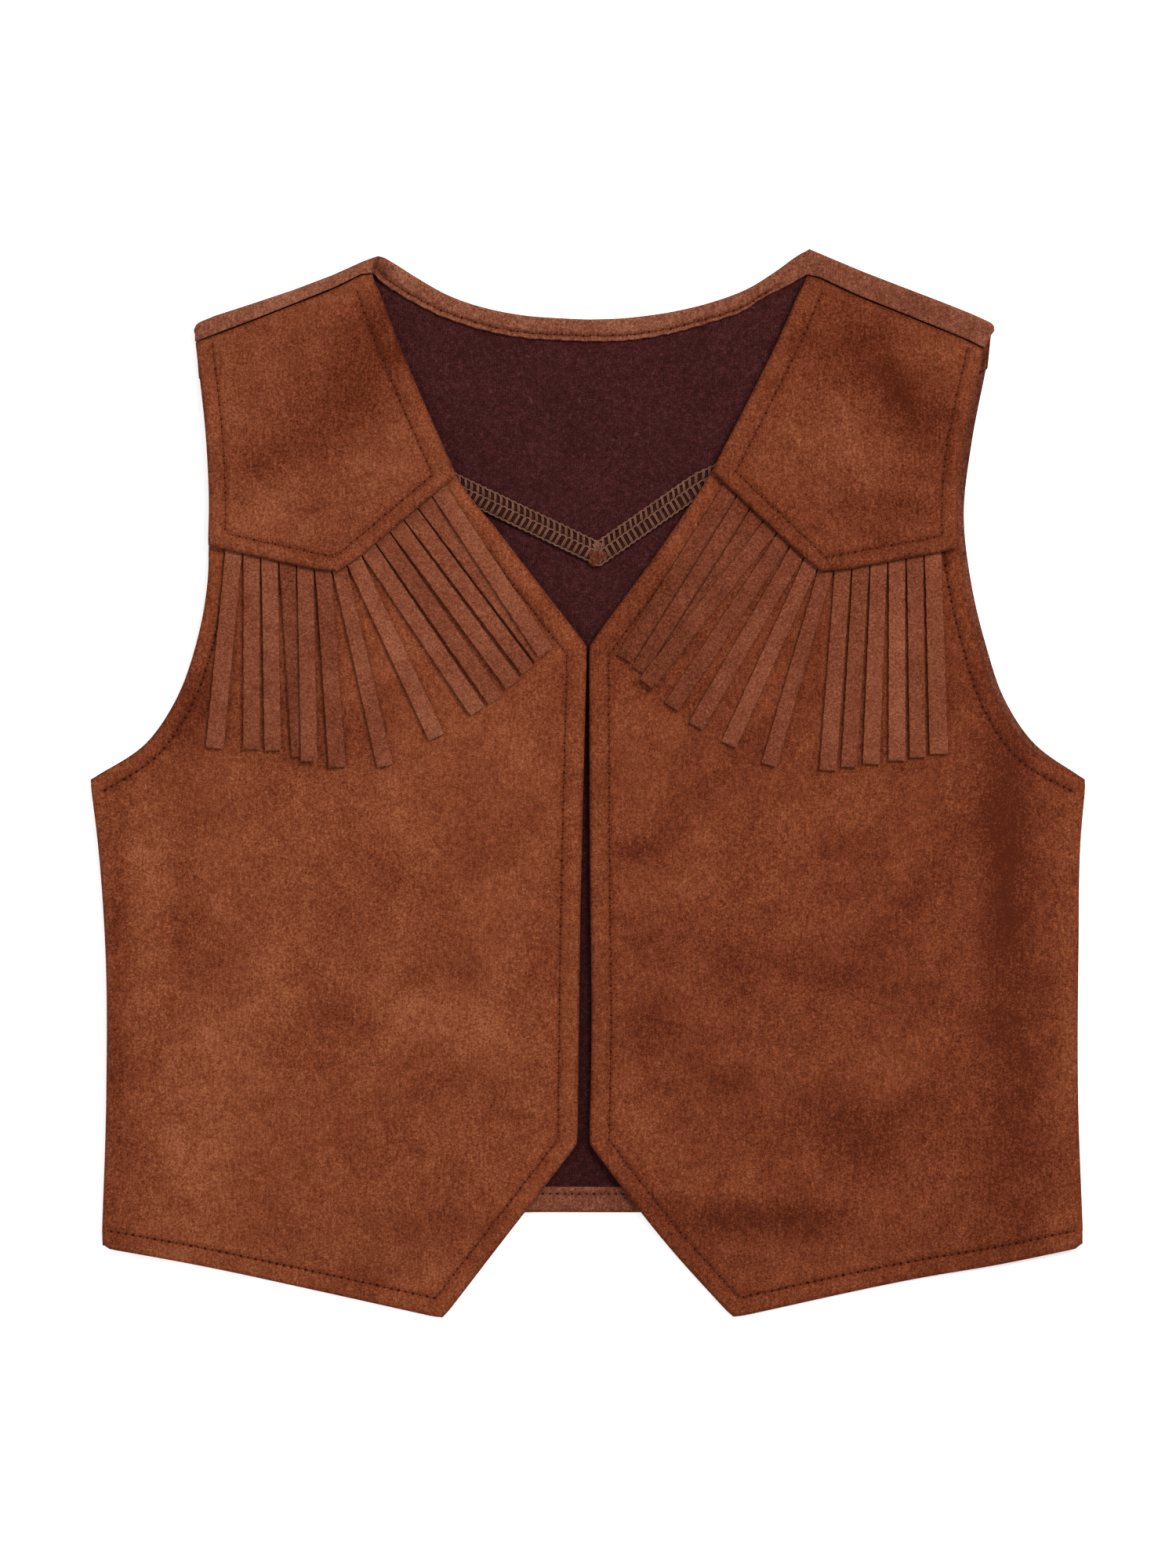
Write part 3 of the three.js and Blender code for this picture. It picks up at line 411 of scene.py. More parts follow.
def distance_to(x, y, path):
    """Distance from many places to a path of straight pieces."""
    nearest = np.full(np.shape(x), np.inf)
    for (start_x, start_y), (end_x, end_y) in zip(path[:-1], path[1:]):
        span_x = end_x - start_x
        span_y = end_y - start_y
        share = ((x - start_x) * span_x + (y - start_y) * span_y) / (span_x**2 + span_y**2)
        held = np.clip(share, 0, 1)
        nearest = np.minimum(nearest, np.hypot(x - start_x - held * span_x, y - start_y - held * span_y))
    return nearest


def back_hem_y(x):
    share = smooth((np.abs(x) - BACK_HEM_FLAT) / (SIDE_REACH - BACK_HEM_FLAT))
    return BACK_HEM_CENTRE + (BACK_HEM_SIDE - BACK_HEM_CENTRE) * share


def swell_height(x, y):
    return hills(x, y, SWELLS) + hills(x, y, CREASES)


def front_level(x, y):
    """Height of the fronts' outer face above the table."""
    past_hem = smooth((back_hem_y(x) - y + DROP_START) / DROP_RUN)
    near_side = smooth((SIDE_REACH - np.abs(x)) / SIDE_CALM)
    return FRONT_TOP + swell_height(x, y) * near_side - TIP_DROP * past_hem


def yoke_level(x, y, yoke):
    """Height of a front yoke's outer face: it lies over the front and fringe at its lower edge."""
    from_shoulder = smooth(distance_to(x, y, yoke["shoulder"]) / SHOULDER_RUN)
    from_edge = smooth((distance_to(x, y, yoke["lower_edge"]) - HEM_WIDTH) / YOKE_RUN)
    open_level = SHOULDER_TOP + YOKE_CREST * from_shoulder + YOKE_SWELL_SHARE * swell_height(x, y)
    over_front = front_level(x, y) + YOKE_GAP + CLOTH + TURN
    return over_front + (open_level - over_front) * from_edge


class Run:
    """A smooth curve through knots, read by its length, and carried straight on past its ends."""

    SPAN_STEPS = 24

    def __init__(self, knots):
        knots = np.array(knots, float)
        last = len(knots) - 1
        pieces = [knots[:1]]
        share = np.linspace(0, 1, self.SPAN_STEPS + 1)[1:, None]
        for i in range(last):
            start, end = knots[i], knots[i + 1]
            leave, arrive = (self.tangent(knots, at, np.linalg.norm(end - start)) for at in (i, i + 1))
            pieces.append(
                (2 * start - 2 * end + leave + arrive) * share**3
                + (3 * end - 3 * start - 2 * leave - arrive) * share**2
                + leave * share
                + start
            )
        self.points = np.vstack(pieces)
        steps = np.linalg.norm(np.diff(self.points, axis=0), axis=1)
        self.stations = np.concatenate([[0], np.cumsum(steps)])
        self.length = self.stations[-1]
        headings = np.gradient(self.points, self.stations, axis=0)
        self.headings = headings / np.linalg.norm(headings, axis=1)[:, None]

    @staticmethod
    def tangent(knots, at, chord):
        """Direction of the curve at a knot, as long as the chord beside it."""
        if at == 0 or at == len(knots) - 1:
            inner = 1 if at == 0 else at
            way = knots[inner] - knots[inner - 1]
        else:
            back, ahead = knots[at] - knots[at - 1], knots[at + 1] - knots[at]
            back_length, ahead_length = np.linalg.norm(back), np.linalg.norm(ahead)
            way = back / back_length * ahead_length + ahead / ahead_length * back_length
        return way / np.linalg.norm(way) * chord

    def at(self, stations):
        """Places and headings at distances along the run."""
        held = np.clip(stations, 0, self.length)
        place = np.column_stack([np.interp(held, self.stations, self.points[:, axis]) for axis in (0, 1)])
        heading = np.column_stack([np.interp(held, self.stations, self.headings[:, axis]) for axis in (0, 1)])
        heading /= np.linalg.norm(heading, axis=1)[:, None]
        return place + heading * (stations - held)[:, None], heading


# Rings of a panel's mesh, as distances from an edge, by what is done to that edge
EDGE_RINGS = [0, 0.1, 0.35, 0.85]
SEAM_RINGS = [1.2, 1.6, 1.85, 2.1, 2.35, 2.6, 2.85, 3.2, 3.6, 5]
TUCK_RINGS = [1.5, 3, 4.5, 6, 7, 7.6, 8.6, 9.6, 10.6, 14]
INNER_RING = 14


def edge(knots, kind, stitch=0, dimple=FAINT_DIMPLE):
    """One edge of a panel: turned and stitched, plain in a seam, curled at the side or tucked under a yoke."""
    if kind == "turned":
        groove = [stitch - 1.2, stitch - 0.45, stitch, stitch + 0.45, stitch + 1.2]
        raw = stitch + RAW_EDGE
        rings = [*EDGE_RINGS, 1.7, 3.4, *groove, raw - 0.15, raw + 0.15, INNER_RING]
    elif kind == "tucked":
        rings = [*EDGE_RINGS, *TUCK_RINGS]
    else:
        inset = ROLL_INSET if kind == "curled" else 0
        rings = [distance + inset for distance in [*EDGE_RINGS, *SEAM_RINGS]]
    return {
        "knots": knots,
        "run": Run(knots),
        "kind": kind,
        "stitch": stitch,
        "dimple": dimple,
        "rings": rings,
    }


def flipped(item):
    return {**item, "knots": item["knots"][::-1], "run": Run(item["knots"][::-1])}


def share_steps(edges, total):
    """Splits a side's mesh steps between its edges by their lengths."""
    lengths = [item["run"].length for item in edges]
    steps = [max(round(total * length / sum(lengths)), 1) for length in lengths]
    steps[int(np.argmax(steps))] += total - sum(steps)
    for item, count in zip(edges, steps):
        item["steps"] = count


def corner_turn(before, after, side):
    """How far the ring turns inwards from one edge to the next, in radians."""
    first = before["run"].headings[-1]
    second = after["run"].headings[0]
    return side * math.atan2(first[0] * second[1] - first[1] * second[0], float(first @ second))


def trimmed(own, other, turn):
    """How much shorter an inset edge is at a corner with an edge that is inset by another distance."""
    if abs(own - other) < 0.001 or abs(math.sin(turn)) < 0.25:
        return (own + other) / 2 * math.tan(turn / 2)
    return (other - own * math.cos(turn)) / math.sin(turn)


def inset_rows(edges, distances, side):
    """Every edge moved inwards by its own distance, cut off where it meets its neighbours."""
    rows = []
    count = len(edges)
    for i, item in enumerate(edges):
        before, after = edges[i - 1], edges[(i + 1) % count]
        start = trimmed(distances[i], distances[i - 1], corner_turn(before, item, side))
        end = trimmed(distances[i], distances[(i + 1) % count], corner_turn(item, after, side))
        shares = np.linspace(0, 1, item["steps"] + 1)
        places, headings = item["run"].at(start + (item["run"].length - start - end) * shares)
        inward = side * np.column_stack([-headings[:, 1], headings[:, 0]])
        rows.append(places + distances[i] * inward)
    for i in range(count):
        corner = (rows[i][-1] + rows[(i + 1) % count][0]) / 2
        rows[i][-1] = corner
        rows[(i + 1) % count][0] = corner
    return rows


def per_place(edges, value_of):
    """A value for each place round a ring, the same all along an edge."""
    return np.concatenate([np.full(item["steps"], float(value_of(item))) for item in edges])


def fading(edges, applies):
    """1 along the edges that a treatment applies to, running out beside edges that haven't it."""
    parts = []
    for i, item in enumerate(edges):
        length = item["run"].length
        along = np.linspace(0, length, item["steps"] + 1)[:-1]
        value = np.full(item["steps"], float(applies(item)))
        if not applies(edges[i - 1]):
            value *= smooth(along / CORNER_FADE)
        if not applies(edges[(i + 1) % len(edges)]):
            value *= smooth((length - along) / CORNER_FADE)
        parts.append(value)
    return np.concatenate(parts)


def softened(places, edges, side, corners, depth):
    """Rounds corners of a ring a little. corners holds (edge index, amount, reach): the corner at that edge's end."""
    for index, amount, reach in corners:
        corner = edges[index]["run"].points[-1]
        leaving = edges[index]["run"].headings[-1]
        arriving = edges[(index + 1) % len(edges)]["run"].headings[0]
        inward = side * np.array([-(leaving + arriving)[1], (leaving + arriving)[0]])
        inward /= np.linalg.norm(inward)
        near = np.exp(-(np.sum((places - corner) ** 2, axis=1)) / reach**2)
        places = places + inward * (amount * near * (1 - smooth(depth / 6)))[:, None]
    return places


def quads_between(lines, closed):
    """Quads between neighbouring lines of node numbers."""
    quads = []
    for low, high in zip(lines[:-1], lines[1:]):
        ahead_low = np.roll(low, -1)
        ahead_high = np.roll(high, -1)
        block = np.column_stack([low, ahead_low, ahead_high, high])
        quads.append(block if closed else block[:-1])
    return np.vstack(quads)


def node_normals(nodes, quads):
    corners = nodes[quads]
    normal = np.cross(corners[:, 2] - corners[:, 0], corners[:, 3] - corners[:, 1])
    total = np.zeros_like(nodes)
    for corner in range(4):
        np.add.at(total, quads[:, corner], normal)
    return total / np.linalg.norm(total, axis=1)[:, None]


def new_object(name, places, faces, materials, material_of=None, sharp_degrees=None):
    """A mesh object from places in millimetres."""
    mesh = bpy.data.meshes.new(name)
    mesh.from_pydata((np.asarray(places) * MM).tolist(), [], [list(map(int, face)) for face in faces])
    for material in materials:
        mesh.materials.append(material)
    if material_of is not None:
        mesh.polygons.foreach_set("material_index", np.asarray(material_of, np.int32))
    mesh.polygons.foreach_set("use_smooth", np.ones(len(mesh.polygons), bool))
    if sharp_degrees:
        mesh.set_sharp_from_angle(angle=math.radians(sharp_degrees))
    mesh.update()
    made = bpy.data.objects.new(name, mesh)
    bpy.context.scene.collection.objects.link(made)
    return made


def paint(made, name, values):
    """Stores a number on every vertex for the materials to read."""
    layer = made.data.attributes.new(name, "FLOAT", "POINT")
    layer.data.foreach_set("value", np.asarray(values, np.float32))


def fold_fall(distance, radius):
    """How far a rounded edge falls short of the flat cloth, by the distance from that edge."""
    share = np.clip(1 - distance / radius, 0, 1)
    return np.minimum(radius * (1 - np.sqrt(1 - share**2)), radius - RIM_HALF)


def roll_drop(distance):
    share = np.clip(1 - distance / ROLL_WIDTH, 0, 1)
    return SIDE_ROLL * (1 - np.sqrt(1 - share**2))


def tuck_drop(distance):
    past = distance - HEM_WIDTH - HEM_STEP
    return TUCK_DEPTH * (1 - smooth(past / TUCK_RISE))


def middle_height(x, y, panel):
    """Height of a panel's middle surface, with its curled sides and tucked top."""
    height = panel["level"](x, y) - CLOTH / 2
    curl = 1 if panel["inner_up"] else -1
    for item in panel["edges"]:
        if item["kind"] == "curled":
            height = height + curl * roll_drop(distance_to(x, y, item["run"].points) - ROLL_INSET)
    tucked = [item for item in panel["edges"] if item["kind"] == "tucked"]
    if tucked:
        distance = np.min([distance_to(x, y, item["run"].points) for item in tucked], axis=0)
        height = height - tuck_drop(distance)
    return height


def make_panel(bottom, inner, top, outer, level, inner_up=False, corners=(), settle=None):
    """The four sides of a panel from its outer bottom corner, joined into one ring of edges."""
    columns = math.ceil(sum(item["run"].length for item in bottom) / GRID_STEP)
    rows = math.ceil(sum(item["run"].length for item in outer) / GRID_STEP)
    for side, total in ((bottom, columns), (top, columns), (inner, rows), (outer, rows)):
        share_steps(side, total)
    edges = [*bottom, *inner, *map(flipped, reversed(top)), *map(flipped, reversed(outer))]
    ring = np.vstack([item["run"].points[:-1] for item in edges])
    ahead = np.roll(ring, -1, axis=0)
    side = 1 if np.sum(ring[:, 0] * ahead[:, 1] - ahead[:, 0] * ring[:, 1]) > 0 else -1
    return {
        "edges": edges,
        "columns": columns,
        "rows": rows,
        "side": side,
        "level": level,
        "inner_up": inner_up,
        "corners": corners,
        "settle": settle or (lambda places: places),
    }


def coons_inside(border, columns, rows):
    """Places and node numbers of a grid inside a closed border, which keeps its own numbers."""
    count = len(border)
    column, row = np.meshgrid(np.arange(columns + 1), np.arange(rows + 1))
    u = (column / columns)[..., None]
    v = (row / rows)[..., None]
    low = border[column % count]
    right = border[(columns + row) % count]
    high = border[(2 * columns + rows - column) % count]
    left = border[(2 * columns + 2 * rows - row) % count]
    corner_low_left, corner_low_right = border[0], border[columns]
    corner_high_right, corner_high_left = border[columns + rows], border[2 * columns + rows]
    places = (1 - v) * low + v * high + (1 - u) * left + u * right
    places -= (1 - u) * (1 - v) * corner_low_left + u * (1 - v) * corner_low_right
    places -= (1 - u) * v * corner_high_left + u * v * corner_high_right
    numbers = np.full((rows + 1, columns + 1), -1)
    numbers[0] = np.arange(columns + 1)
    numbers[:, columns] = columns + np.arange(rows + 1)
    numbers[rows] = 2 * columns + rows - np.arange(columns + 1)
    numbers[1:, 0] = (2 * columns + 2 * rows - np.arange(1, rows + 1)) % count
    inside = numbers < 0
    numbers[inside] = count + np.arange(inside.sum())
    return places[inside], numbers


def panel_mesh(name, panel, materials, nap_and_shade_rows, tone):
    """A panel as a thin shell: outer face, inner face and the rim between them."""
    edges, side = panel["edges"], panel["side"]
    ring_count = len(edges[0]["rings"])
    own = np.array([per_place(edges, lambda item, k=k: item["rings"][k]) for k in range(ring_count)])
    is_turned = per_place(edges, lambda item: item["kind"] == "turned")
    is_rounded = per_place(edges, lambda item: item["kind"] in ("turned", "plain"))
    turned = fading(edges, lambda item: item["kind"] == "turned")
    stitch = per_place(edges, lambda item: item["stitch"])
    rings = []
    for k in range(ring_count):
        rows = inset_rows(edges, [item["rings"][k] for item in edges], side)
        places = np.vstack([row[:-1] for row in rows])
        rings.append(softened(places, edges, side, panel["corners"], own[k]))
    inside, numbers = coons_inside(rings[-1], panel["columns"], panel["rows"])
    count = len(rings[0])
    flat = panel["settle"](np.vstack([*rings, inside]))
    nodes = np.column_stack([flat, middle_height(flat[:, 0], flat[:, 1], panel)])

    lines = [np.arange(count) + k * count for k in range(ring_count)]
    ring_quads = quads_between(lines, True)
    grid_quads = quads_between(list(numbers + (ring_count - 1) * count), False)
    quads = np.vstack([ring_quads, grid_quads])
    outer_up = not panel["inner_up"]
    if (side > 0) != outer_up:
        quads = quads[:, ::-1]
    normals = node_normals(nodes, quads)

    radius = CLOTH / 2 + turned * TURN / 2
    rounding = fold_fall(own, radius) * is_rounded
    rounding[0] += EDGE_THINNING * (1 - is_rounded)
    groove = GROOVE_DEPTH * np.exp(-(((own - stitch) / GROOVE_WIDTH) ** 2)) * is_turned
    puff = HEM_PUFF * turned * smooth(own / 2) * smooth((stitch + 0.6 - own) / 2)
    layer = TURN * turned * (own < stitch + RAW_EDGE)
    rest = np.full(len(inside), CLOTH / 2)
    outer_reach = np.concatenate([(CLOTH / 2 - rounding - groove + puff).ravel(), rest])
    inner_reach = np.concatenate([(CLOTH / 2 - rounding - groove * 0.7 + layer).ravel(), rest])
    if panel["inner_up"]:
        flat_puff = (HEM_PUFF * turned * smooth(own / 2) * smooth((stitch + 0.6 - own) / 2)).ravel()
        outer_reach[: len(flat_puff)] -= flat_puff
        inner_reach[: len(flat_puff)] += flat_puff * 0.5

    total = len(nodes)
    places = np.vstack([nodes + normals * outer_reach[:, None], nodes - normals * inner_reach[:, None]])
    places[:, 2] = np.maximum(places[:, 2], 0)
    here = np.arange(count)
    ahead = np.roll(here, -1)
    rim = np.column_stack([ahead, here, here + total, ahead + total])
    if (side > 0) != outer_up:
        rim = rim[:, ::-1]
    faces = np.vstack([quads, quads[:, ::-1] + total, rim])
    on_fold = (own[1:] < stitch + RAW_EDGE + 0.3) * is_turned
    inner_materials = np.concatenate([1 - on_fold.ravel(), np.ones(len(grid_quads))])
    material_of = np.concatenate([np.zeros(len(quads)), inner_materials, np.zeros(len(rim))])
    made = new_object(name, places, faces, materials, material_of)
    # The nap's light and dark tone, with the painted shade and light of the tables added to it
    nap_and_shade = tone + hills(flat[:, 0], flat[:, 1], nap_and_shade_rows)
    # Crushed nap and painted shade along the rows of stitches, and painted shade along the edges
    crushed_nap_and_shade = GROOVE_SHADE * np.exp(-(((own - stitch) / 1.1) ** 2)) * is_turned
    crushed_nap_and_shade += EDGE_SHADE * np.exp(-((own / EDGE_SHADE_WIDTH) ** 2))
    nap_and_shade[: crushed_nap_and_shade.size] -= crushed_nap_and_shade.ravel()
    paint(made, "nap_and_shade", np.concatenate([nap_and_shade, nap_and_shade]))
    if panel["inner_up"]:
        # Painted shade on the back's knit under the fronts
        shade_under_fronts = smooth((COVER_START - flat[:, 1]) / COVER_RUN)
        paint(made, "shade_under_fronts", np.concatenate([shade_under_fronts, shade_under_fronts]))
    return made


def tube(points, radii, sides=6):
    """A closed round tube through points, with a radius at each."""
    points = np.asarray(points, float)
    heading = np.gradient(points, axis=0)
    heading /= np.linalg.norm(heading, axis=1)[:, None]
    across = np.cross(heading, (0, 0, 1))
    across /= np.maximum(np.linalg.norm(across, axis=1), 1e-6)[:, None]
    up = np.cross(across, heading)
    angles = np.arange(sides) * 2 * math.pi / sides
    ring = across[:, None] * np.cos(angles)[:, None] + up[:, None] * np.sin(angles)[:, None]
    places = (points[:, None] + ring * np.asarray(radii, float)[:, None, None]).reshape(-1, 3)
    numbers = np.arange(len(points) * sides).reshape(-1, sides)
    faces = quads_between(list(numbers), True)[:, ::-1].tolist()
    faces.append(numbers[0].tolist())
    faces.append(numbers[-1][::-1].tolist())
    return places, faces


def joined(parts):
    """Several (places, faces) parts as one."""
    places, faces, start = [], [], 0
    for part_places, part_faces in parts:
        places.append(part_places)
        faces.extend([[number + start for number in face] for face in part_faces])
        start += len(part_places)
    return np.vstack(places), faces


def stitch_shape(place, heading, up_sign, slope):
    """One stitch: a short thread that dives into the cloth at both ends."""
    half = STITCH_LENGTH / 2
    shares = np.array([-1, -0.8, 0, 0.8, 1])
    dips = np.array([0.34, 0.1, 0, 0.1, 0.34])
    radii = STITCH_RADIUS * np.array([0.45, 0.9, 1, 0.9, 0.45])
    points = np.column_stack([
        place[0] + heading[0] * shares * half,
        place[1] + heading[1] * shares * half,
        place[2] + slope * shares * half - up_sign * dips,
    ])
    return tube(points, radii, 5)


HOLE_SIDES = 8
HOLE_LIFT = 0.14  # over the stitches' level, so that the walls of the groove don't hide it


def hole_shape(place, up_sign, radius):
    """A dark disc of painted shade in the dimple where two stitches dive into the cloth."""
    angles = np.arange(HOLE_SIDES) * 2 * math.pi / HOLE_SIDES
    ring = np.column_stack([
        place[0] + radius * np.cos(angles),
        place[1] + radius * np.sin(angles),
        np.full(HOLE_SIDES, place[2]),
    ])
    ring[:, 2] += HOLE_LIFT * up_sign
    peak = place + np.array([0, 0, (HOLE_LIFT + 0.05) * up_sign])
    foot = place - np.array([0, 0, 0.1 * up_sign])
    faces = []
    for here in range(HOLE_SIDES):
        ahead = (here + 1) % HOLE_SIDES
        faces.append([here, ahead, HOLE_SIDES][::up_sign])
        faces.append([ahead, here, HOLE_SIDES + 1][::up_sign])
    return np.vstack([ring, peak, foot]), faces


def stitch_row(places, height_of, up_sign=1, dimple=FAINT_DIMPLE, start=0.6):
    """Stitches at an even pitch along a line of places, each with the uneven disc of painted shade in the dimple
    after it.
    """
    places = np.asarray(places, float)
    steps = np.linalg.norm(np.diff(places, axis=0), axis=1)
    stations = np.concatenate([[0], np.cumsum(steps)])
    centres = np.arange(start + STITCH_LENGTH / 2, stations[-1] - STITCH_LENGTH / 2, STITCH_PITCH)
    parts = []
    for centre in centres:
        pair = np.array([
            [np.interp(centre + shift, stations, places[:, axis]) for axis in (0, 1)]
            for shift in (-STITCH_LENGTH / 2, STITCH_LENGTH / 2)
        ])
        heights = height_of(pair[:, 0], pair[:, 1])
        middle = pair.mean(axis=0)
        heading = (pair[1] - pair[0]) / np.linalg.norm(pair[1] - pair[0])
        slope = (heights[1] - heights[0]) / STITCH_LENGTH
        parts.append((*stitch_shape((*middle, heights.mean()), heading, up_sign, slope), 0))
        hole = middle + heading * STITCH_PITCH / 2
        radius = dimple * (0.9 + 0.3 * float(uneven(np.array(centre), 4)))
        parts.append((*hole_shape(np.array([*hole, heights[1]]), up_sign, radius), 1))
    return parts


SEAM_STOP = 0.9  # how close a row of stitches comes to a seam


def panel_stitches(panel, outer_face=True):
    """Stitches along every turned edge of a panel, on its outer or its inner face."""
    edges = panel["edges"]
    distances = [item["stitch"] if item["kind"] == "turned" else SEAM_STOP for item in edges]
    rows = [panel["settle"](row) for row in inset_rows(edges, distances, panel["side"])]
    faces_up = outer_face != panel["inner_up"]
    sign = 1 if faces_up else -1
    lift = CLOTH / 2 - GROOVE_DEPTH + STITCH_SINK + (0 if outer_face else TURN)

    def height_of(x, y):
        return middle_height(x, y, panel) + sign * lift

    parts = []
    for item, row in zip(edges, rows):
        if item["kind"] == "turned":
            parts.extend(stitch_row(row, height_of, sign, item["dimple"]))
    return parts


def run_between(start, end):
    span = np.array(end, float) - np.array(start, float)
    return span / np.linalg.norm(span)


def upright_of(run):
    """Across a run, on its side towards the shoulders."""
    return np.array([-run[1], run[0]]) if run[0] > 0 else np.array([run[1], -run[0]])


def mitre_of(first_up, second_up):
    total = first_up + second_up
    return total * 2 / (total @ total)


def tucked_top(yoke):
    """Top edge of a front: the yoke's lower edge moved up under the yoke."""
    start, corner, end = (np.array(place, float) for place in yoke["lower_edge"])
    outer_up = upright_of(run_between(start, corner))
    inner_up = upright_of(run_between(corner, end))
    armhole_run = run_between(*yoke["armhole"][:2])
    neckline_run = run_between(*yoke["neckline"][:2])
    return [
        tuple(start + armhole_run * TUCK_WIDTH / (armhole_run @ outer_up)),
        tuple(corner + mitre_of(outer_up, inner_up) * TUCK_WIDTH),
        tuple(end + neckline_run * TUCK_WIDTH / (neckline_run @ inner_up)),
    ]


def front_panel(front, yoke):
    top = tucked_top(yoke)
    return make_panel(
        bottom=[edge(front["hem"], "turned", HEM_STITCH, HEM_DIMPLE)],
        inner=[
            edge(front["diagonal"], "turned", DIAGONAL_STITCH),
            edge(front["centre"], "turned", CENTRE_STITCH),
            edge([*front["neckline"], top[2]], "turned", NECKLINE_STITCH),
        ],
        top=[edge(top[:2], "tucked"), edge(top[1:], "tucked")],
        outer=[
            edge(front["side"], "curled"),
            edge([*front["armhole"], top[0]], "turned", ARMHOLE_STITCH, HEM_DIMPLE),
        ],
        level=front_level,
        corners=((0, 0.5, 2.5), (1, 0.3, 3), (2, 0.25, 2.5), (6, 0.4, 2), (7, 1, 2.5)),
    )


SHOULDER_SETTLE = 9  # how far from the shoulder seam a yoke still follows the dip at its neck end


def straight_shoulder(yoke):
    """The shoulder seam with its last stretch carried straight on, up to the neck."""
    last = yoke["shoulder"][-1]
    before, knee = yoke["shoulder"][-3:-1]
    slope = (knee[1] - before[1]) / (knee[0] - before[0])
    return [*yoke["shoulder"][:-1], (last[0], knee[1] + slope * (last[0] - knee[0]))]


def settle_shoulder(yoke):
    """Moves places near the neck end of the straight shoulder down onto the seam."""
    knee = yoke["shoulder"][-2]
    corner = yoke["shoulder"][-1]
    straight_corner = straight_shoulder(yoke)[-1]

    def settle(places):
        share = np.clip((places[:, 0] - knee[0]) / (corner[0] - knee[0]), 0, None)
        near = 1 - smooth(distance_to(places[:, 0], places[:, 1], yoke["shoulder"]) / SHOULDER_SETTLE)
        drop = (straight_corner[1] - corner[1]) * np.minimum(share, 1.3) * near
        return places - np.column_stack([np.zeros(len(places)), drop])

    return settle


def yoke_panel(yoke):
    shoulder = straight_shoulder(yoke)
    return make_panel(
        bottom=[
            edge(yoke["lower_edge"][:2], "turned", YOKE_STITCH),
            edge(yoke["lower_edge"][1:], "turned", YOKE_STITCH),
        ],
        inner=[edge([*yoke["neckline"][:-1], shoulder[-1]], "turned", NECKLINE_STITCH)],
        top=[edge(shoulder, "plain")],
        outer=[edge(yoke["armhole"], "turned", ARMHOLE_STITCH)],
        level=lambda x, y: yoke_level(x, y, yoke),
        corners=((0, 1.1, 6.5), (1, 0.25, 2), (4, 0.25, 2)),
        settle=settle_shoulder(yoke),
    )


def back_panel():
    hem = [(x, float(back_hem_y(x))) for x in np.linspace(RIGHT_SIDE[0][0], LEFT_SIDE[0][0], 9)]
    return make_panel(
        bottom=[edge(hem, "turned", BACK_STITCH, HEM_DIMPLE)],
        inner=[
            edge(LEFT_SIDE, "curled"),
            edge([*LEFT_ARMHOLE, LEFT_V[-1]], "turned", ARMHOLE_STITCH),
        ],
        top=[edge(RIGHT_V, "plain"), edge(LEFT_V[:2], "plain"), edge(LEFT_V[1:], "plain")],
        outer=[
            edge(RIGHT_SIDE, "curled"),
            edge([*RIGHT_ARMHOLE, RIGHT_V[0]], "turned", ARMHOLE_STITCH),
        ],
        level=lambda x, y: np.full(np.shape(x), CLOTH),
        inner_up=True,
    )


def v_seam_y(x):
    knots = np.array([*RIGHT_V, *LEFT_V[1:]])
    return np.interp(x, knots[:, 0], knots[:, 1])


YOKE_COLUMN_STEP = 1.7
YOKE_FLAT_STEPS = 34
FOLD_STEPS = 12
SEAM_LAP = 0.12  # how far the rounded edges of the V seam close over each other
END_LAP = 0.5  # what the turned armholes add to that at both ends of the seam
END_LAP_REACH = 4
TIP_ROUND = 2.6  # radius of the strip's outer corners at the armholes
TIP_REACH = 7  # from an armhole to where the strip folds square to its length
FLAP_REACH = 0.45  # of the turned strip's width, which the fine steps beside its edge may take


def fine_sections():
    """The back yoke's sections at a fine step, as smooth curves through the given ones."""
    rows = np.array(YOKE_SECTIONS)
    last = len(rows) - 1
    fine = []
    for i in range(last):
        before, start, end, after = rows[max(i - 1, 0)], rows[i], rows[i + 1], rows[min(i + 2, last)]
        turned_step = 0.4 if min(start[6], end[6]) > 0 else 1
        steps = max(math.ceil(abs(end[0] - start[0]) / YOKE_COLUMN_STEP / turned_step), 2)
        for share in np.arange(steps) / steps:
            leave, arrive = (end - before) / 2, (after - start) / 2
            curved = (
                (2 * start - 2 * end + leave + arrive) * share**3
                + (3 * end - 3 * start - 2 * leave - arrive) * share**2
                + leave * share
                + start
            )
            straight = start + (end - start) * share
            is_neck = smooth((84 - abs(straight[0])) / 8)
            row = straight + (curved - straight) * is_neck
            row[4:] = straight[4:]
            fine.append(row)
    fine.append(rows[-1])
    return np.array(fine)


def uneven(along, seed):
    """A small ragged wander, the same on every run."""
    return (
        0.5 * np.sin(along * 0.93 + seed)
        + 0.3 * np.sin(along * 1.71 + 2.3 * seed)
        + 0.2 * np.sin(along * 3.1 + 0.7 * seed)
    )


def fold_directions(sections, from_tip):
    """Outward direction of the top fold at each section, turning along the armhole's edge at the tips."""
    heading = np.gradient(sections[:, :2], axis=0)
    outward = np.column_stack([-heading[:, 1], heading[:, 0]])
    outward /= np.linalg.norm(outward, axis=1)[:, None]
    along_edge = sections[:, :2] - sections[:, 2:4]
    along_edge /= np.linalg.norm(along_edge, axis=1)[:, None]
    near_tip = (1 - smooth(from_tip / TIP_REACH))[:, None]
    mixed = outward + (along_edge - outward) * near_tip
    return mixed / np.linalg.norm(mixed, axis=1)[:, None]


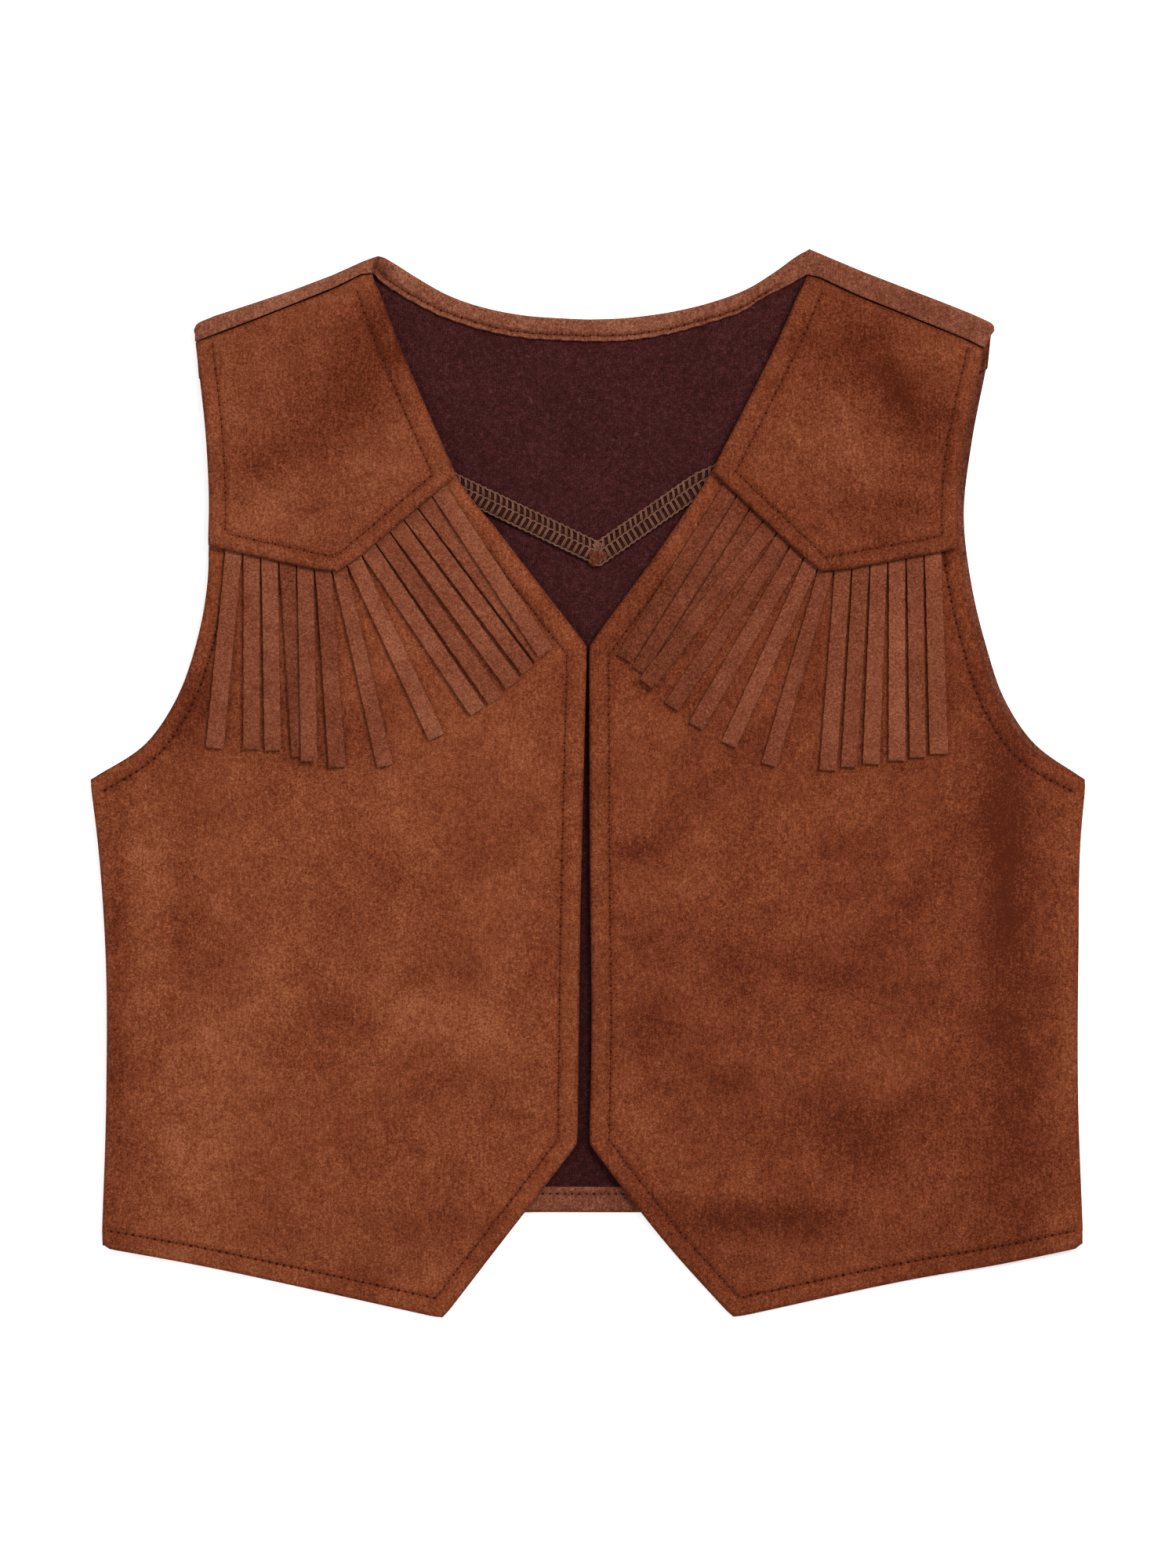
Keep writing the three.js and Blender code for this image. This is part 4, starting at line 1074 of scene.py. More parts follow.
def back_yoke_shape():
    """Nodes of the back yoke's middle surface, section by section, and their offsets."""
    sections = fine_sections()
    fold = sections[:, :2]
    radius = sections[:, 4]
    along = np.concatenate([[0], np.cumsum(np.linalg.norm(np.diff(fold, axis=0), axis=1))])
    from_tip = np.minimum(along, along[-1] - along)
    outward = fold_directions(sections, from_tip)
    cut_back = TIP_ROUND - np.sqrt(TIP_ROUND**2 - np.clip(TIP_ROUND - from_tip, 0, TIP_ROUND) ** 2)
    centre = fold - outward * (radius + CLOTH / 2 + cut_back * 0.7)[:, None]
    seam_x = sections[:, 5]
    from_end = np.minimum(seam_x - seam_x[0], seam_x[-1] - seam_x)
    lap = SEAM_LAP + END_LAP * np.exp(-((from_end / END_LAP_REACH) ** 2))
    seam = np.column_stack([seam_x, v_seam_y(seam_x) - lap])
    is_neck = smooth((80 - np.abs(fold[:, 0])) / 5)
    free = sections[:, 2:4] + outward * (0.28 * uneven(along, 1.3) * is_neck)[:, None]
    seam_edge = np.array([0, 0.1, 0.35, 0.85, 1.6])
    span = np.linalg.norm(centre - seam, axis=1)
    lines, reaches, thinness = [], [], []
    for distance in seam_edge:
        share = (distance / span)[:, None]
        flat = seam + (centre - seam) * share
        lines.append(np.column_stack([flat, np.full(len(flat), CLOTH / 2)]))
        reaches.append(fold_fall(np.full(len(flat), distance), CLOTH / 2))
    start = seam_edge[-1] / span
    for step in range(1, YOKE_FLAT_STEPS + 1):
        share = (start + (1 - start) * step / (YOKE_FLAT_STEPS + 1))[:, None]
        flat = seam + (centre - seam) * share
        lines.append(np.column_stack([flat, np.full(len(flat), CLOTH / 2)]))
        reaches.append(np.zeros(len(flat)))
    for step in range(FOLD_STEPS + 1):
        angle = math.pi * step / FOLD_STEPS
        flat = centre + outward * (radius * math.sin(angle))[:, None]
        lines.append(np.column_stack([flat, CLOTH / 2 + radius * (1 - math.cos(angle))]))
        reaches.append(np.zeros(len(flat)))
    width = np.linalg.norm(free - centre, axis=1)
    from_edge = [2.9, NECK_RAW_STITCH + 0.45, NECK_RAW_STITCH, NECK_RAW_STITCH - 0.45, 0.85, 0.35, 0.1, 0]
    top = CLOTH / 2 + 2 * radius
    middle = (centre + free) / 2
    lines.append(np.column_stack([middle, top]))
    reaches.append(np.zeros(len(middle)))
    narrowed = np.minimum(FLAP_REACH * width / from_edge[0], 1)
    for distance in from_edge:
        share = (distance * narrowed / width)[:, None]
        flat = free + (centre - free) * share
        lines.append(np.column_stack([flat, top]))
        groove = GROOVE_DEPTH * math.exp(-(((distance - NECK_RAW_STITCH) / GROOVE_WIDTH) ** 2)) * is_neck
        reaches.append(fold_fall(np.full(len(flat), distance), CLOTH / 2) + groove)
    nodes = np.stack(lines, axis=1)
    thinness = np.stack(reaches, axis=1)
    return sections, nodes, thinness, is_neck


def back_yoke_mesh(name, materials):
    sections, grid, thinness, is_neck = back_yoke_shape()
    columns, rows = grid.shape[:2]
    nodes = grid.reshape(-1, 3)
    numbers = np.arange(columns * rows).reshape(columns, rows)
    quads = quads_between(list(numbers), False)
    normals = node_normals(nodes, quads)
    if normals[rows // 3, 2] > 0:
        quads = quads[:, ::-1]
        normals = -normals
    turned = np.repeat(sections[:, 6], rows) * TURN
    thin = thinness.ravel()
    folded_over = smooth((nodes[:, 2] - CLOTH) / CLOTH)
    outer_reach = CLOTH / 2 - thin + hills(nodes[:, 0], nodes[:, 1], STRIP_CREASES) * folded_over
    waves = hills(nodes[:, 0], nodes[:, 1], BACK_CREASES) * (nodes[:, 2] < CLOTH)
    inner_reach = CLOTH / 2 - thin + turned + waves
    total = len(nodes)
    places = np.vstack([nodes + normals * outer_reach[:, None], nodes - normals * inner_reach[:, None]])
    places[:, 2] = np.maximum(places[:, 2], 0)
    border = [*numbers[:, 0], *numbers[-1, 1:], *numbers[:-1, -1][::-1], *numbers[0, 1:-1][::-1]]
    border = np.array(border)
    ahead = np.roll(border, -1)
    rim = np.column_stack([border, ahead, ahead + total, border + total])
    faces = np.vstack([quads, quads[:, ::-1] + total, rim])
    on_fold = (sections[:-1, 6] > 0.5) & (sections[1:, 6] > 0.5)
    inner_materials = np.repeat(1 - on_fold, rows - 1)
    material_of = np.concatenate([np.zeros(len(quads)), inner_materials, np.zeros(len(rim))])
    made = new_object(name, places, faces, materials, material_of)
    # The strip's nap, with painted shade along its edges and creases
    strip_nap_and_shade = 0.15 + hills(nodes[:, 0], nodes[:, 1], STRIP_NAP_AND_SHADE) - EDGE_SHADE * (thin > 0.05)
    nap_and_shade = strip_nap_and_shade * folded_over + hills(nodes[:, 0], nodes[:, 1], BACK_NAP_AND_SHADE) * (1 - folded_over)
    paint(made, "nap_and_shade", np.concatenate([nap_and_shade, nap_and_shade]))
    return made


def neck_stitches():
    """Stitches of the neck hem, on the turned strip and under it on the outer face."""
    sections, grid, _, is_neck = back_yoke_shape()
    strip_row = grid.shape[1] - 6
    shown = (is_neck > 0.99).nonzero()[0]
    places = grid[shown, strip_row]
    line = places[:, :2]
    upper = stitch_row(line, lambda x, y: np.interp(x, places[:, 0], places[:, 2]) + CLOTH / 2 - 0.24)
    under = stitch_row(line, lambda x, y: np.full(np.shape(x), 0.12), -1)
    return upper, under


def outside_by(x, y, path):
    """How far a place lies outside a yoke's pointed lower edge, negative under the yoke."""
    distances = []
    for start, end in zip(path[:-1], path[1:]):
        up = upright_of(run_between(start, end))
        distances.append(-(up[0] * (x - start[0]) + up[1] * (y - start[1])))
    return np.maximum(*distances)


def strand_rise(distance, lift):
    """How far a strand's underside lies over the front's free face."""
    tucked = LAYER_GAP + STRIP_COVER - TUCK_DEPTH
    risen = np.clip((distance - 0.3) / 2.9, 0, 1)
    lifted = np.clip((distance - 2) / 4, 0, 1)
    return tucked + (STRAND_GAP - tucked) * risen + lift * lifted


def along_path(path, distance):
    """The place and direction at a distance along a path of two straight pieces."""
    left = distance
    for start, end in zip(path[:-1], path[1:]):
        length = math.dist(start, end)
        run = run_between(start, end)
        if left <= length or end == path[-1]:
            return np.array(start) + run * left, run
        left -= length
    return None


STRAND_ACROSS = np.array([-1, -0.97, -0.85, -0.45, 0, 0.45, 0.85, 0.97, 1])
STRAND_FALL = np.array([0.3, 0.08, 0, 0, 0, 0, 0, 0.08, 0.3])
STRAND_STEP = 2.4
STRAND_WANDER = 0.14  # how unevenly a strand is cut
STRAND_TWIST_START = 26  # from the root to where a strand starts to twist


def strand_shape(index, root, strand, towards_centre, path):
    """One strand: a flat strip with cut edges, a little uneven, with a slight twist in its free end."""
    place, run_along = root
    swing, length, tip_width, lift, _, twist = strand
    angle = math.radians(swing)
    run = np.array([towards_centre * math.sin(angle), -math.cos(angle)])
    crossing = abs(run[0] * run_along[1] - run[1] * run_along[0])
    root_width = STRAND_PITCH * crossing - STRAND_SLIT
    early = [-4, -1.4, 0.3, 1, 1.8, 2.5, 3.2, 4.6, 6.2]
    count = math.ceil((length - 8) / STRAND_STEP)
    stations = np.array([*early, *np.linspace(8, length - 0.25, count), length])
    share = np.maximum(stations, 0) / length
    half = (root_width + (tip_width - root_width) * share) / 2
    free = smooth((stations - 3) / 8)
    left_edge = half - STRAND_WANDER * (1 + uneven(stations, index * 1.7)) * free
    right_edge = half - STRAND_WANDER * (1 + uneven(stations, index * 2.9 + 1)) * free
    across = np.where(STRAND_ACROSS < 0, left_edge[:, None], right_edge[:, None]) * STRAND_ACROSS
    x = place[0] + run[0] * stations[:, None] - run[1] * across
    y = place[1] + run[1] * stations[:, None] + run[0] * across
    bottom = front_level(x, y) + strand_rise(outside_by(x, y, path), lift)
    bend = smooth((stations - STRAND_TWIST_START) / (length - STRAND_TWIST_START))[:, None]
    bottom = bottom + bend * (abs(twist) + twist * STRAND_ACROSS)
    end_fall = np.zeros(len(stations))
    end_fall[-1] = 0.15
    fall = STRAND_FALL + end_fall[:, None]
    upper = np.stack([x, y, bottom + STRAND_THICKNESS - fall], axis=-1)
    lower = np.stack([x, y, bottom + fall], axis=-1)
    rows, columns = x.shape
    places = np.vstack([upper.reshape(-1, 3), lower.reshape(-1, 3)])
    numbers = np.arange(rows * columns).reshape(rows, columns)
    total = rows * columns
    top = quads_between(list(numbers), False)
    border = np.array([*numbers[0], *numbers[1:, -1], *numbers[-1, :-1][::-1], *numbers[1:-1, 0][::-1]])
    ahead = np.roll(border, -1)
    faces = np.vstack([
        top,
        top[:, ::-1] + total,
        np.column_stack([ahead, border, border + total, ahead + total]),
    ])
    return places, faces.tolist()


def strip_shape(yoke, count):
    """The strip under the yoke's edge that the strands hang from."""
    path = yoke["lower_edge"]
    corner = math.dist(path[0], path[1])
    reach = FRINGE_START + count * STRAND_PITCH
    stops = np.concatenate([np.linspace(FRINGE_START, corner, 14), np.linspace(corner, reach, 14)[1:]])
    mitre = mitre_of(upright_of(run_between(*path[:2])), upright_of(run_between(*path[1:])))
    shares = np.array([0, 0.03, 0.5, 0.97, 1])
    falls = np.array([0.3, 0, 0, 0, 0.3])
    upper, lower = [], []
    for stop in stops:
        place, run = along_path(path, stop)
        up = mitre if abs(stop - corner) < 0.001 else upright_of(run)
        for share, fall in zip(shares, falls):
            x, y = place + up * (STRIP_INSET + STRIP_WIDTH * share)
            bottom = float(front_level(np.array(x), np.array(y))) + LAYER_GAP - TUCK_DEPTH
            upper.append((x, y, bottom + STRIP_THICKNESS - fall))
            lower.append((x, y, bottom + fall))
    numbers = np.arange(len(upper)).reshape(len(stops), len(shares))
    top = quads_between(list(numbers), False)
    total = len(upper)
    border = np.array([*numbers[0], *numbers[1:, -1], *numbers[-1, :-1][::-1], *numbers[1:-1, 0][::-1]])
    ahead = np.roll(border, -1)
    faces = np.vstack([
        top,
        top[:, ::-1] + total,
        np.column_stack([ahead, border, border + total, ahead + total]),
    ])
    return np.array(upper + lower), faces.tolist()


def fringe_mesh(name, yoke, strands, towards_centre, material):
    parts = [strip_shape(yoke, len(strands))]
    tones = [0]
    for index, strand in enumerate(strands):
        root = along_path(yoke["lower_edge"], FRINGE_START + (index + 0.5) * STRAND_PITCH)
        parts.append(strand_shape(index, root, strand, towards_centre, yoke["lower_edge"]))
        tones.append(strand[4])
    places, faces = joined(parts)
    made = new_object(name, places, faces, [material], sharp_degrees=50)
    made.data.validate()
    paint(made, "nap_and_shade", np.concatenate([np.full(len(p), tone) for (p, _), tone in zip(parts, tones)]))
    return made


# Overlock stitching of the seam allowance
LOOP_PITCH = 2.5
LOOP_WIDTH = 0.55
LOOP_RADIUS = 0.27
LOOP_ROWS = ((0.4, 4.8), (5.1, 8.5))  # from the seam to the start and the end of each row of loops
LOOP_SLANTS = (0.35, 1.5)  # how far the end of a loop lies past its start


def allowance_frame():
    """Places along the seam at a fine step, with the direction across the allowance."""
    x = np.unique(np.concatenate([
        np.linspace(-148 + ALLOWANCE_ENDS, V_POINT[0], 70),
        np.linspace(V_POINT[0], 151 - ALLOWANCE_ENDS, 66),
    ]))
    seam = np.column_stack([x, v_seam_y(x) + SEAM_GAP])
    before = np.vstack([seam[:1], seam[:-1]])
    after = np.vstack([seam[1:], seam[-1:]])
    run = after - before
    run /= np.linalg.norm(run, axis=1)[:, None]
    across = np.column_stack([-run[:, 1], run[:, 0]])
    return seam, across


def allowance_mesh(name, material):
    seam, across = allowance_frame()
    base = CLOTH + ALLOWANCE_GAP
    along = np.concatenate([[0], np.cumsum(np.linalg.norm(np.diff(seam, axis=0), axis=1))])
    shares = np.array([0.02, 0.35, 1.2, 2.6, 4.3, 4.6, 5.4, 6.6, 7.5, 7.9])
    tops = np.array([0.7, 1.02, 1.12, 1.16, 0.98, 0.98, 1.14, 1.12, 0.96, 0.6])
    upper, lower = [], []
    for distance, top in zip(shares, tops):
        wander = 0.12 * uneven(along, 2.2) * (distance > 7)
        flat = seam + across * (distance + wander)[:, None]
        bump = 0.07 * uneven(along * 0.8, distance)
        upper.append(np.column_stack([flat, base + top + bump]))
        lower.append(np.column_stack([flat, np.full(len(flat), base + (0.2 if top < 0.8 else 0))]))
    upper, lower = np.stack(upper, axis=1), np.stack(lower, axis=1)
    rows, columns = upper.shape[:2]
    numbers = np.arange(rows * columns).reshape(rows, columns)
    top_quads = quads_between(list(numbers), False)
    total = rows * columns
    border = np.array([*numbers[0], *numbers[1:, -1], *numbers[-1, :-1][::-1], *numbers[1:-1, 0][::-1]])
    ahead = np.roll(border, -1)
    faces = np.vstack([
        top_quads[:, ::-1],
        top_quads + total,
        np.column_stack([border, ahead, ahead + total, border + total]),
    ])
    places = np.vstack([upper.reshape(-1, 3), lower.reshape(-1, 3)])
    return new_object(name, places, faces, [material])


def overlock_mesh(name, material):
    """Two rows of thread loops across the seam allowance, and the chains that they hang on."""
    seam, across = allowance_frame()
    along = np.concatenate([[0], np.cumsum(np.linalg.norm(np.diff(seam, axis=0), axis=1))])
    base = CLOTH + ALLOWANCE_GAP + 1.12

    def place(station, distance, height):
        point = [np.interp(station, along, seam[:, axis]) for axis in (0, 1)]
        way = [np.interp(station, along, across[:, axis]) for axis in (0, 1)]
        return point[0] + way[0] * distance, point[1] + way[1] * distance, base + height

    parts = []
    for row, (low, high) in enumerate(LOOP_ROWS):
        for station in np.arange(1.5, along[-1] - 1.5, LOOP_PITCH):
            before_point = place(station, 0, 0)[0] < V_POINT[0]
            slant = -LOOP_SLANTS[row] if row and before_point else LOOP_SLANTS[row]
            shift = 0.22 * float(uneven(np.array(station * 1.3), 3 + row))
            top = high + 0.3 * float(uneven(np.array(station * 0.9), 5 + row))
            loop = [
                (station + shift - LOOP_WIDTH / 2, low, 0.02),
                (station + shift - LOOP_WIDTH / 2 + slant * 0.5, (low + top) / 2, 0.2),
                (station + shift - LOOP_WIDTH / 2 + slant, top - 0.3, 0.12),
                (station + shift + slant, top, 0.0),
                (station + shift + LOOP_WIDTH / 2 + slant, top - 0.3, 0.12),
                (station + shift + LOOP_WIDTH / 2 + slant * 0.5, (low + top) / 2, 0.2),
                (station + shift + LOOP_WIDTH / 2, low, 0.02),
            ]
            parts.append(tube([place(*step) for step in loop], np.full(len(loop), LOOP_RADIUS), 5))
    for distance in (LOOP_ROWS[0][0], LOOP_ROWS[1][0] - 0.1, LOOP_ROWS[1][1] - 0.1):
        stations = np.arange(0.8, along[-1] - 0.8, 0.5)
        wave = 0.2 * np.sin(stations * 2 * math.pi / LOOP_PITCH)
        chain = [place(station, distance + side, 0.1) for station, side in zip(stations, wave)]
        parts.append(tube(chain, np.full(len(chain), LOOP_RADIUS * 1.15), 5))
    places, faces = joined(parts)
    return new_object(name, places, faces, [material])


def seam_point_mesh(name, material):
    """The scrap of suede that shows where the overlocked seam turns at the point of the V."""
    angles = np.linspace(0, 2 * math.pi, 24, endpoint=False)
    rings = [(0.05, 0.62), (0.5, 0.6), (0.85, 0.42), (1, 0.1)]
    centre = np.array([V_POINT[0] - 0.9, V_POINT[1] + 4.2])
    base = CLOTH + ALLOWANCE_GAP + 0.98
    places, lines = [], []
    for share, height in rings:
        line = []
        for angle in angles:
            wander = 1 + 0.16 * math.sin(3 * angle + 1) + 0.06 * math.sin(7 * angle)
            x = centre[0] + 3.7 * share * wander * math.cos(angle) + 0.6 * share * math.sin(angle)
            y = centre[1] + 3.3 * share * wander * math.sin(angle)
            line.append(len(places))
            places.append((x, y, base + height + 0.05 * math.sin(5 * angle)))
        lines.append(np.array(line))
    quads = quads_between(lines, True)[:, ::-1].tolist()
    quads.append(lines[0].tolist())
    quads.append(lines[-1][::-1].tolist())
    made = new_object(name, places, quads, [material])
    paint(made, "nap_and_shade", np.full(len(places), -1.3))
    return made


# Materials

def srgb(red, green, blue):
    """A colour as it looks on screen, from 0 to 255, in the linear values that shaders take."""
    values = []
    for part in (red, green, blue):
        share = part / 255
        values.append(share / 12.92 if share <= 0.04045 else ((share + 0.055) / 1.055) ** 2.4)
    return (*values, 1)


class Shader:
    """A material's node tree with short calls to add to it."""

    def __init__(self, name):
        self.material = bpy.data.materials.new(name)
        self.material.use_nodes = True
        self.tree = self.material.node_tree
        self.surface = self.tree.nodes["Principled BSDF"]
        self.place = self.node("ShaderNodeTexCoord").outputs["Object"]

    def node(self, kind, inputs=(), **settings):
        made = self.tree.nodes.new(kind)
        for key, value in settings.items():
            setattr(made, key, value)
        for key, value in dict(inputs).items():
            if isinstance(value, bpy.types.NodeSocket):
                self.tree.links.new(value, made.inputs[key])
            else:
                made.inputs[key].default_value = value
        return made

    def scaled(self, scale):
        return self.node("ShaderNodeMapping", {"Vector": self.place, "Scale": scale}).outputs[0]

    def noise(self, scale, detail=2, roughness=0.5, distortion=0, vector=None):
        inputs = {
            "Vector": vector or self.place,
            "Scale": scale,
            "Detail": detail,
            "Roughness": roughness,
            "Distortion": distortion,
        }
        return self.node("ShaderNodeTexNoise", inputs).outputs["Fac"]

    def math(self, operation, first, second, third=0.0):
        return self.node("ShaderNodeMath", {0: first, 1: second, 2: third}, operation=operation).outputs[0]

    def about_middle(self, value, amount, onto):
        """Adds a noise's departure from its middle, times an amount."""
        return self.math("MULTIPLY_ADD", value, amount, self.math("ADD", onto, -amount / 2))

    def ramp(self, value, stops):
        made = self.node("ShaderNodeValToRGB", {"Fac": value})
        elements = made.color_ramp.elements
        while len(elements) < len(stops):
            elements.new(0.5)
        for element, (position, colour) in zip(elements, stops):
            element.position = position
            element.color = colour
        return made.outputs["Color"]

    def link(self, output, name):
        self.tree.links.new(output, self.surface.inputs[name])

    def set(self, **values):
        for name, value in values.items():
            self.surface.inputs[name.replace("_", " ")].default_value = value


def suede_material(name, dark, middle, light, grain=0.55, sheen=0.18):
    """Short napped suede cloth: light and dark by its nap and by painted shade, mottled, with a fine fuzz and a faint
    upright grain.
    """
    shader = Shader(name)
    # Tone of the nap, with painted shade laid over it
    nap_and_shade = shader.node("ShaderNodeAttribute", attribute_name="nap_and_shade").outputs["Fac"]
    soft = shader.noise(34, 3, 0.55, 0.3)
    patchy = shader.noise(120, 3, 0.6, 0.5)
    fuzz = shader.noise(950, 2, 0.7)
    speckle = shader.noise(2100, 1, 0.6)
    upright = shader.noise(1, 2, 0.6, 0, shader.scaled((1150, 210, 600)))
    value = shader.math("MULTIPLY_ADD", nap_and_shade, 0.32, 0.5)
    value = shader.about_middle(soft, 0.55, value)
    value = shader.about_middle(patchy, 0.42, value)
    value = shader.about_middle(fuzz, 1.15, value)
    value = shader.about_middle(speckle, 1.2, value)
    value = shader.about_middle(upright, grain, value)
    shader.link(shader.ramp(value, [(0, dark), (0.5, middle), (1, light)]), "Base Color")
    shader.set(Roughness=0.93, Specular_IOR_Level=0.04)
    shader.set(Sheen_Weight=sheen, Sheen_Roughness=0.45, Sheen_Tint=srgb(196, 132, 98))
    height = shader.math("MULTIPLY_ADD", upright, 0.7, shader.math("ADD", fuzz, speckle))
    bump = shader.node("ShaderNodeBump", {"Height": height, "Strength": 0.5, "Distance": 0.00025})
    shader.link(bump.outputs[0], "Normal")
    return shader.material


def backing_material(name, dark, middle, light):
    """Matt fine knit of the inner face: a small grid of loops with stray light fibres."""
    shader = Shader(name)
    soft = shader.noise(40, 3, 0.6, 0.4)
    fuzz = shader.noise(1500, 2, 0.7)
    columns = shader.node("ShaderNodeTexWave", {
        "Vector": shader.place, "Scale": 350, "Distortion": 2.2, "Detail": 2, "Detail Scale": 1.5,
    }, bands_direction="X").outputs["Fac"]
    rows = shader.node("ShaderNodeTexWave", {
        "Vector": shader.place, "Scale": 400, "Distortion": 2.6, "Detail": 2, "Detail Scale": 1.5,
    }, bands_direction="Y").outputs["Fac"]
    knit = shader.math("MULTIPLY", columns, rows)
    value = shader.about_middle(soft, 0.35, shader.math("MULTIPLY_ADD", knit, 0.26, 0.4))
    value = shader.about_middle(fuzz, 1.9, value)
    value = shader.about_middle(shader.noise(520, 2, 0.6), 0.9, value)
    fibres = shader.noise(430, 0, 0)
    fibre_share = shader.math("GREATER_THAN", fibres, 0.825)
    value = shader.math("MULTIPLY_ADD", fibre_share, 0.4, value)
    # Painted shade where the fronts cover the knit
    shade_under_fronts = shader.node("ShaderNodeAttribute", attribute_name="shade_under_fronts").outputs["Fac"]
    value = shader.math("MULTIPLY_ADD", shade_under_fronts, -COVER_SHADE, value)
    shader.link(shader.ramp(value, [(0, dark), (0.5, middle), (1, light)]), "Base Color")
    shader.set(Roughness=0.96, Specular_IOR_Level=0.03)
    shader.set(Sheen_Weight=0.03, Sheen_Roughness=0.5, Sheen_Tint=srgb(150, 110, 110))
    height = shader.math("ADD", knit, fuzz)
    bump = shader.node("ShaderNodeBump", {"Height": height, "Strength": 0.5, "Distance": 0.0002})
    shader.link(bump.outputs[0], "Normal")
    return shader.material


def thread_material(name, dark, light, gloss=0.25):
    """Twisted sewing thread, a little uneven in colour."""
    shader = Shader(name)
    twist = shader.noise(3200, 2, 0.6)
    value = shader.about_middle(shader.noise(260, 2, 0.5), 0.5, twist)
    shader.link(shader.ramp(value, [(0.25, dark), (0.75, light)]), "Base Color")
    shader.set(Roughness=0.8, Specular_IOR_Level=gloss)
    bump = shader.node("ShaderNodeBump", {"Height": twist, "Strength": 0.5, "Distance": 0.0001})
    shader.link(bump.outputs[0], "Normal")
    return shader.material


def floor_material(name):
    """Plain pale paper, not quite even, that glows a little with painted light so that shadows stay faint."""
    shader = Shader(name)
    shade = shader.ramp(shader.noise(3, 2, 0.5), [(0, (0.93, 0.93, 0.93, 1)), (1, (0.96, 0.96, 0.96, 1))])
    shader.link(shade, "Base Color")
    shader.set(Roughness=0.9, Specular_IOR_Level=0.2)
    # Painted light: the floor glows to lift its shadows
    shader.set(Emission_Color=(1, 1, 1, 1), Emission_Strength=0.4)
    return shader.material


suede = suede_material("suede_cloth", srgb(72, 27, 13), srgb(112, 55, 32), srgb(148, 88, 58))
yoke_suede = suede_material("yoke_suede", srgb(66, 23, 8), srgb(105, 51, 30), srgb(140, 81, 55))
fringe_suede = suede_material("strand_suede", srgb(70, 29, 14), srgb(108, 56, 37), srgb(140, 85, 61), 0.2)
hem_suede = suede_material("hem_suede", srgb(66, 30, 19), srgb(105, 57, 40), srgb(142, 92, 69))
backing = backing_material("inner_knit", srgb(35, 12, 12), srgb(52, 22, 22), srgb(78, 39, 39))
allowance_cloth = backing_material("allowance_knit", srgb(28, 10, 8), srgb(42, 18, 14), srgb(64, 34, 27))
dark_thread = thread_material("stitch_thread", srgb(66, 28, 13), srgb(98, 47, 27), 0.05)
taupe_thread = thread_material("overlock_thread", srgb(78, 49, 38), srgb(126, 87, 71), 0.1)
# Painted shade of the needle holes
needle_hole_shade = thread_material("needle_hole_shade", srgb(40, 14, 5), srgb(62, 25, 12), 0.02)


def finish_sheet(made, node, pieces):
    """Puts a dressed sheet in place of its solid, with the pieces on it."""
    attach(made, "root")
    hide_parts(node)
    for piece in pieces:
        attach(piece, "root")


def sewn(name, parts):
    """A joined mesh of stitches and the discs of painted shade in the dimples between them."""
    places, faces = joined([part[:2] for part in parts])
    material_of = np.concatenate([np.full(len(part[1]), part[2]) for part in parts])
    made = new_object(name, places, faces, [dark_thread, needle_hole_shade], material_of)
    return made


front_right = front_panel(RIGHT_FRONT, RIGHT_YOKE)
front_left = front_panel(LEFT_FRONT, LEFT_YOKE)
yoke_right = yoke_panel(RIGHT_YOKE)
yoke_left = yoke_panel(LEFT_YOKE)
lower_back = back_panel()

back_cloth = panel_mesh("lower_back_cloth", lower_back, [hem_suede, backing], BACK_NAP_AND_SHADE, -0.05)
back_yoke_cloth = back_yoke_mesh("back_yoke_cloth", [hem_suede, backing])
allowance = allowance_mesh("seam_allowance_cloth", allowance_cloth)
front_right_cloth = panel_mesh("front_right_cloth", front_right, [suede, backing], FRONT_NAP_AND_SHADE, -0.12)
front_left_cloth = panel_mesh("front_left_cloth", front_left, [suede, backing], FRONT_NAP_AND_SHADE, -0.5)
yoke_right_cloth = panel_mesh("front_yoke_right_cloth", yoke_right, [yoke_suede, backing], YOKE_NAP_AND_SHADE, 0)
yoke_left_cloth = panel_mesh("front_yoke_left_cloth", yoke_left, [yoke_suede, backing], YOKE_NAP_AND_SHADE, -0.32)
fringe_right = fringe_mesh("fringe_right_cloth", RIGHT_YOKE, RIGHT_STRANDS, 1, fringe_suede)
fringe_left = fringe_mesh("fringe_left_cloth", LEFT_YOKE, LEFT_STRANDS, -1, fringe_suede)

neck_upper, neck_under = neck_stitches()
back_seams = sewn("lower_back_stitches", [*panel_stitches(lower_back), *panel_stitches(lower_back, False)])
neck_seam = sewn("neck_stitches", [*neck_upper, *neck_under])
front_right_seams = sewn("front_right_stitches", panel_stitches(front_right))
front_left_seams = sewn("front_left_stitches", panel_stitches(front_left))
yoke_right_seams = sewn("front_yoke_right_stitches", panel_stitches(yoke_right))
yoke_left_seams = sewn("front_yoke_left_stitches", panel_stitches(yoke_left))
overlock = overlock_mesh("overlock_stitches", taupe_thread)
seam_point = seam_point_mesh("seam_point", hem_suede)

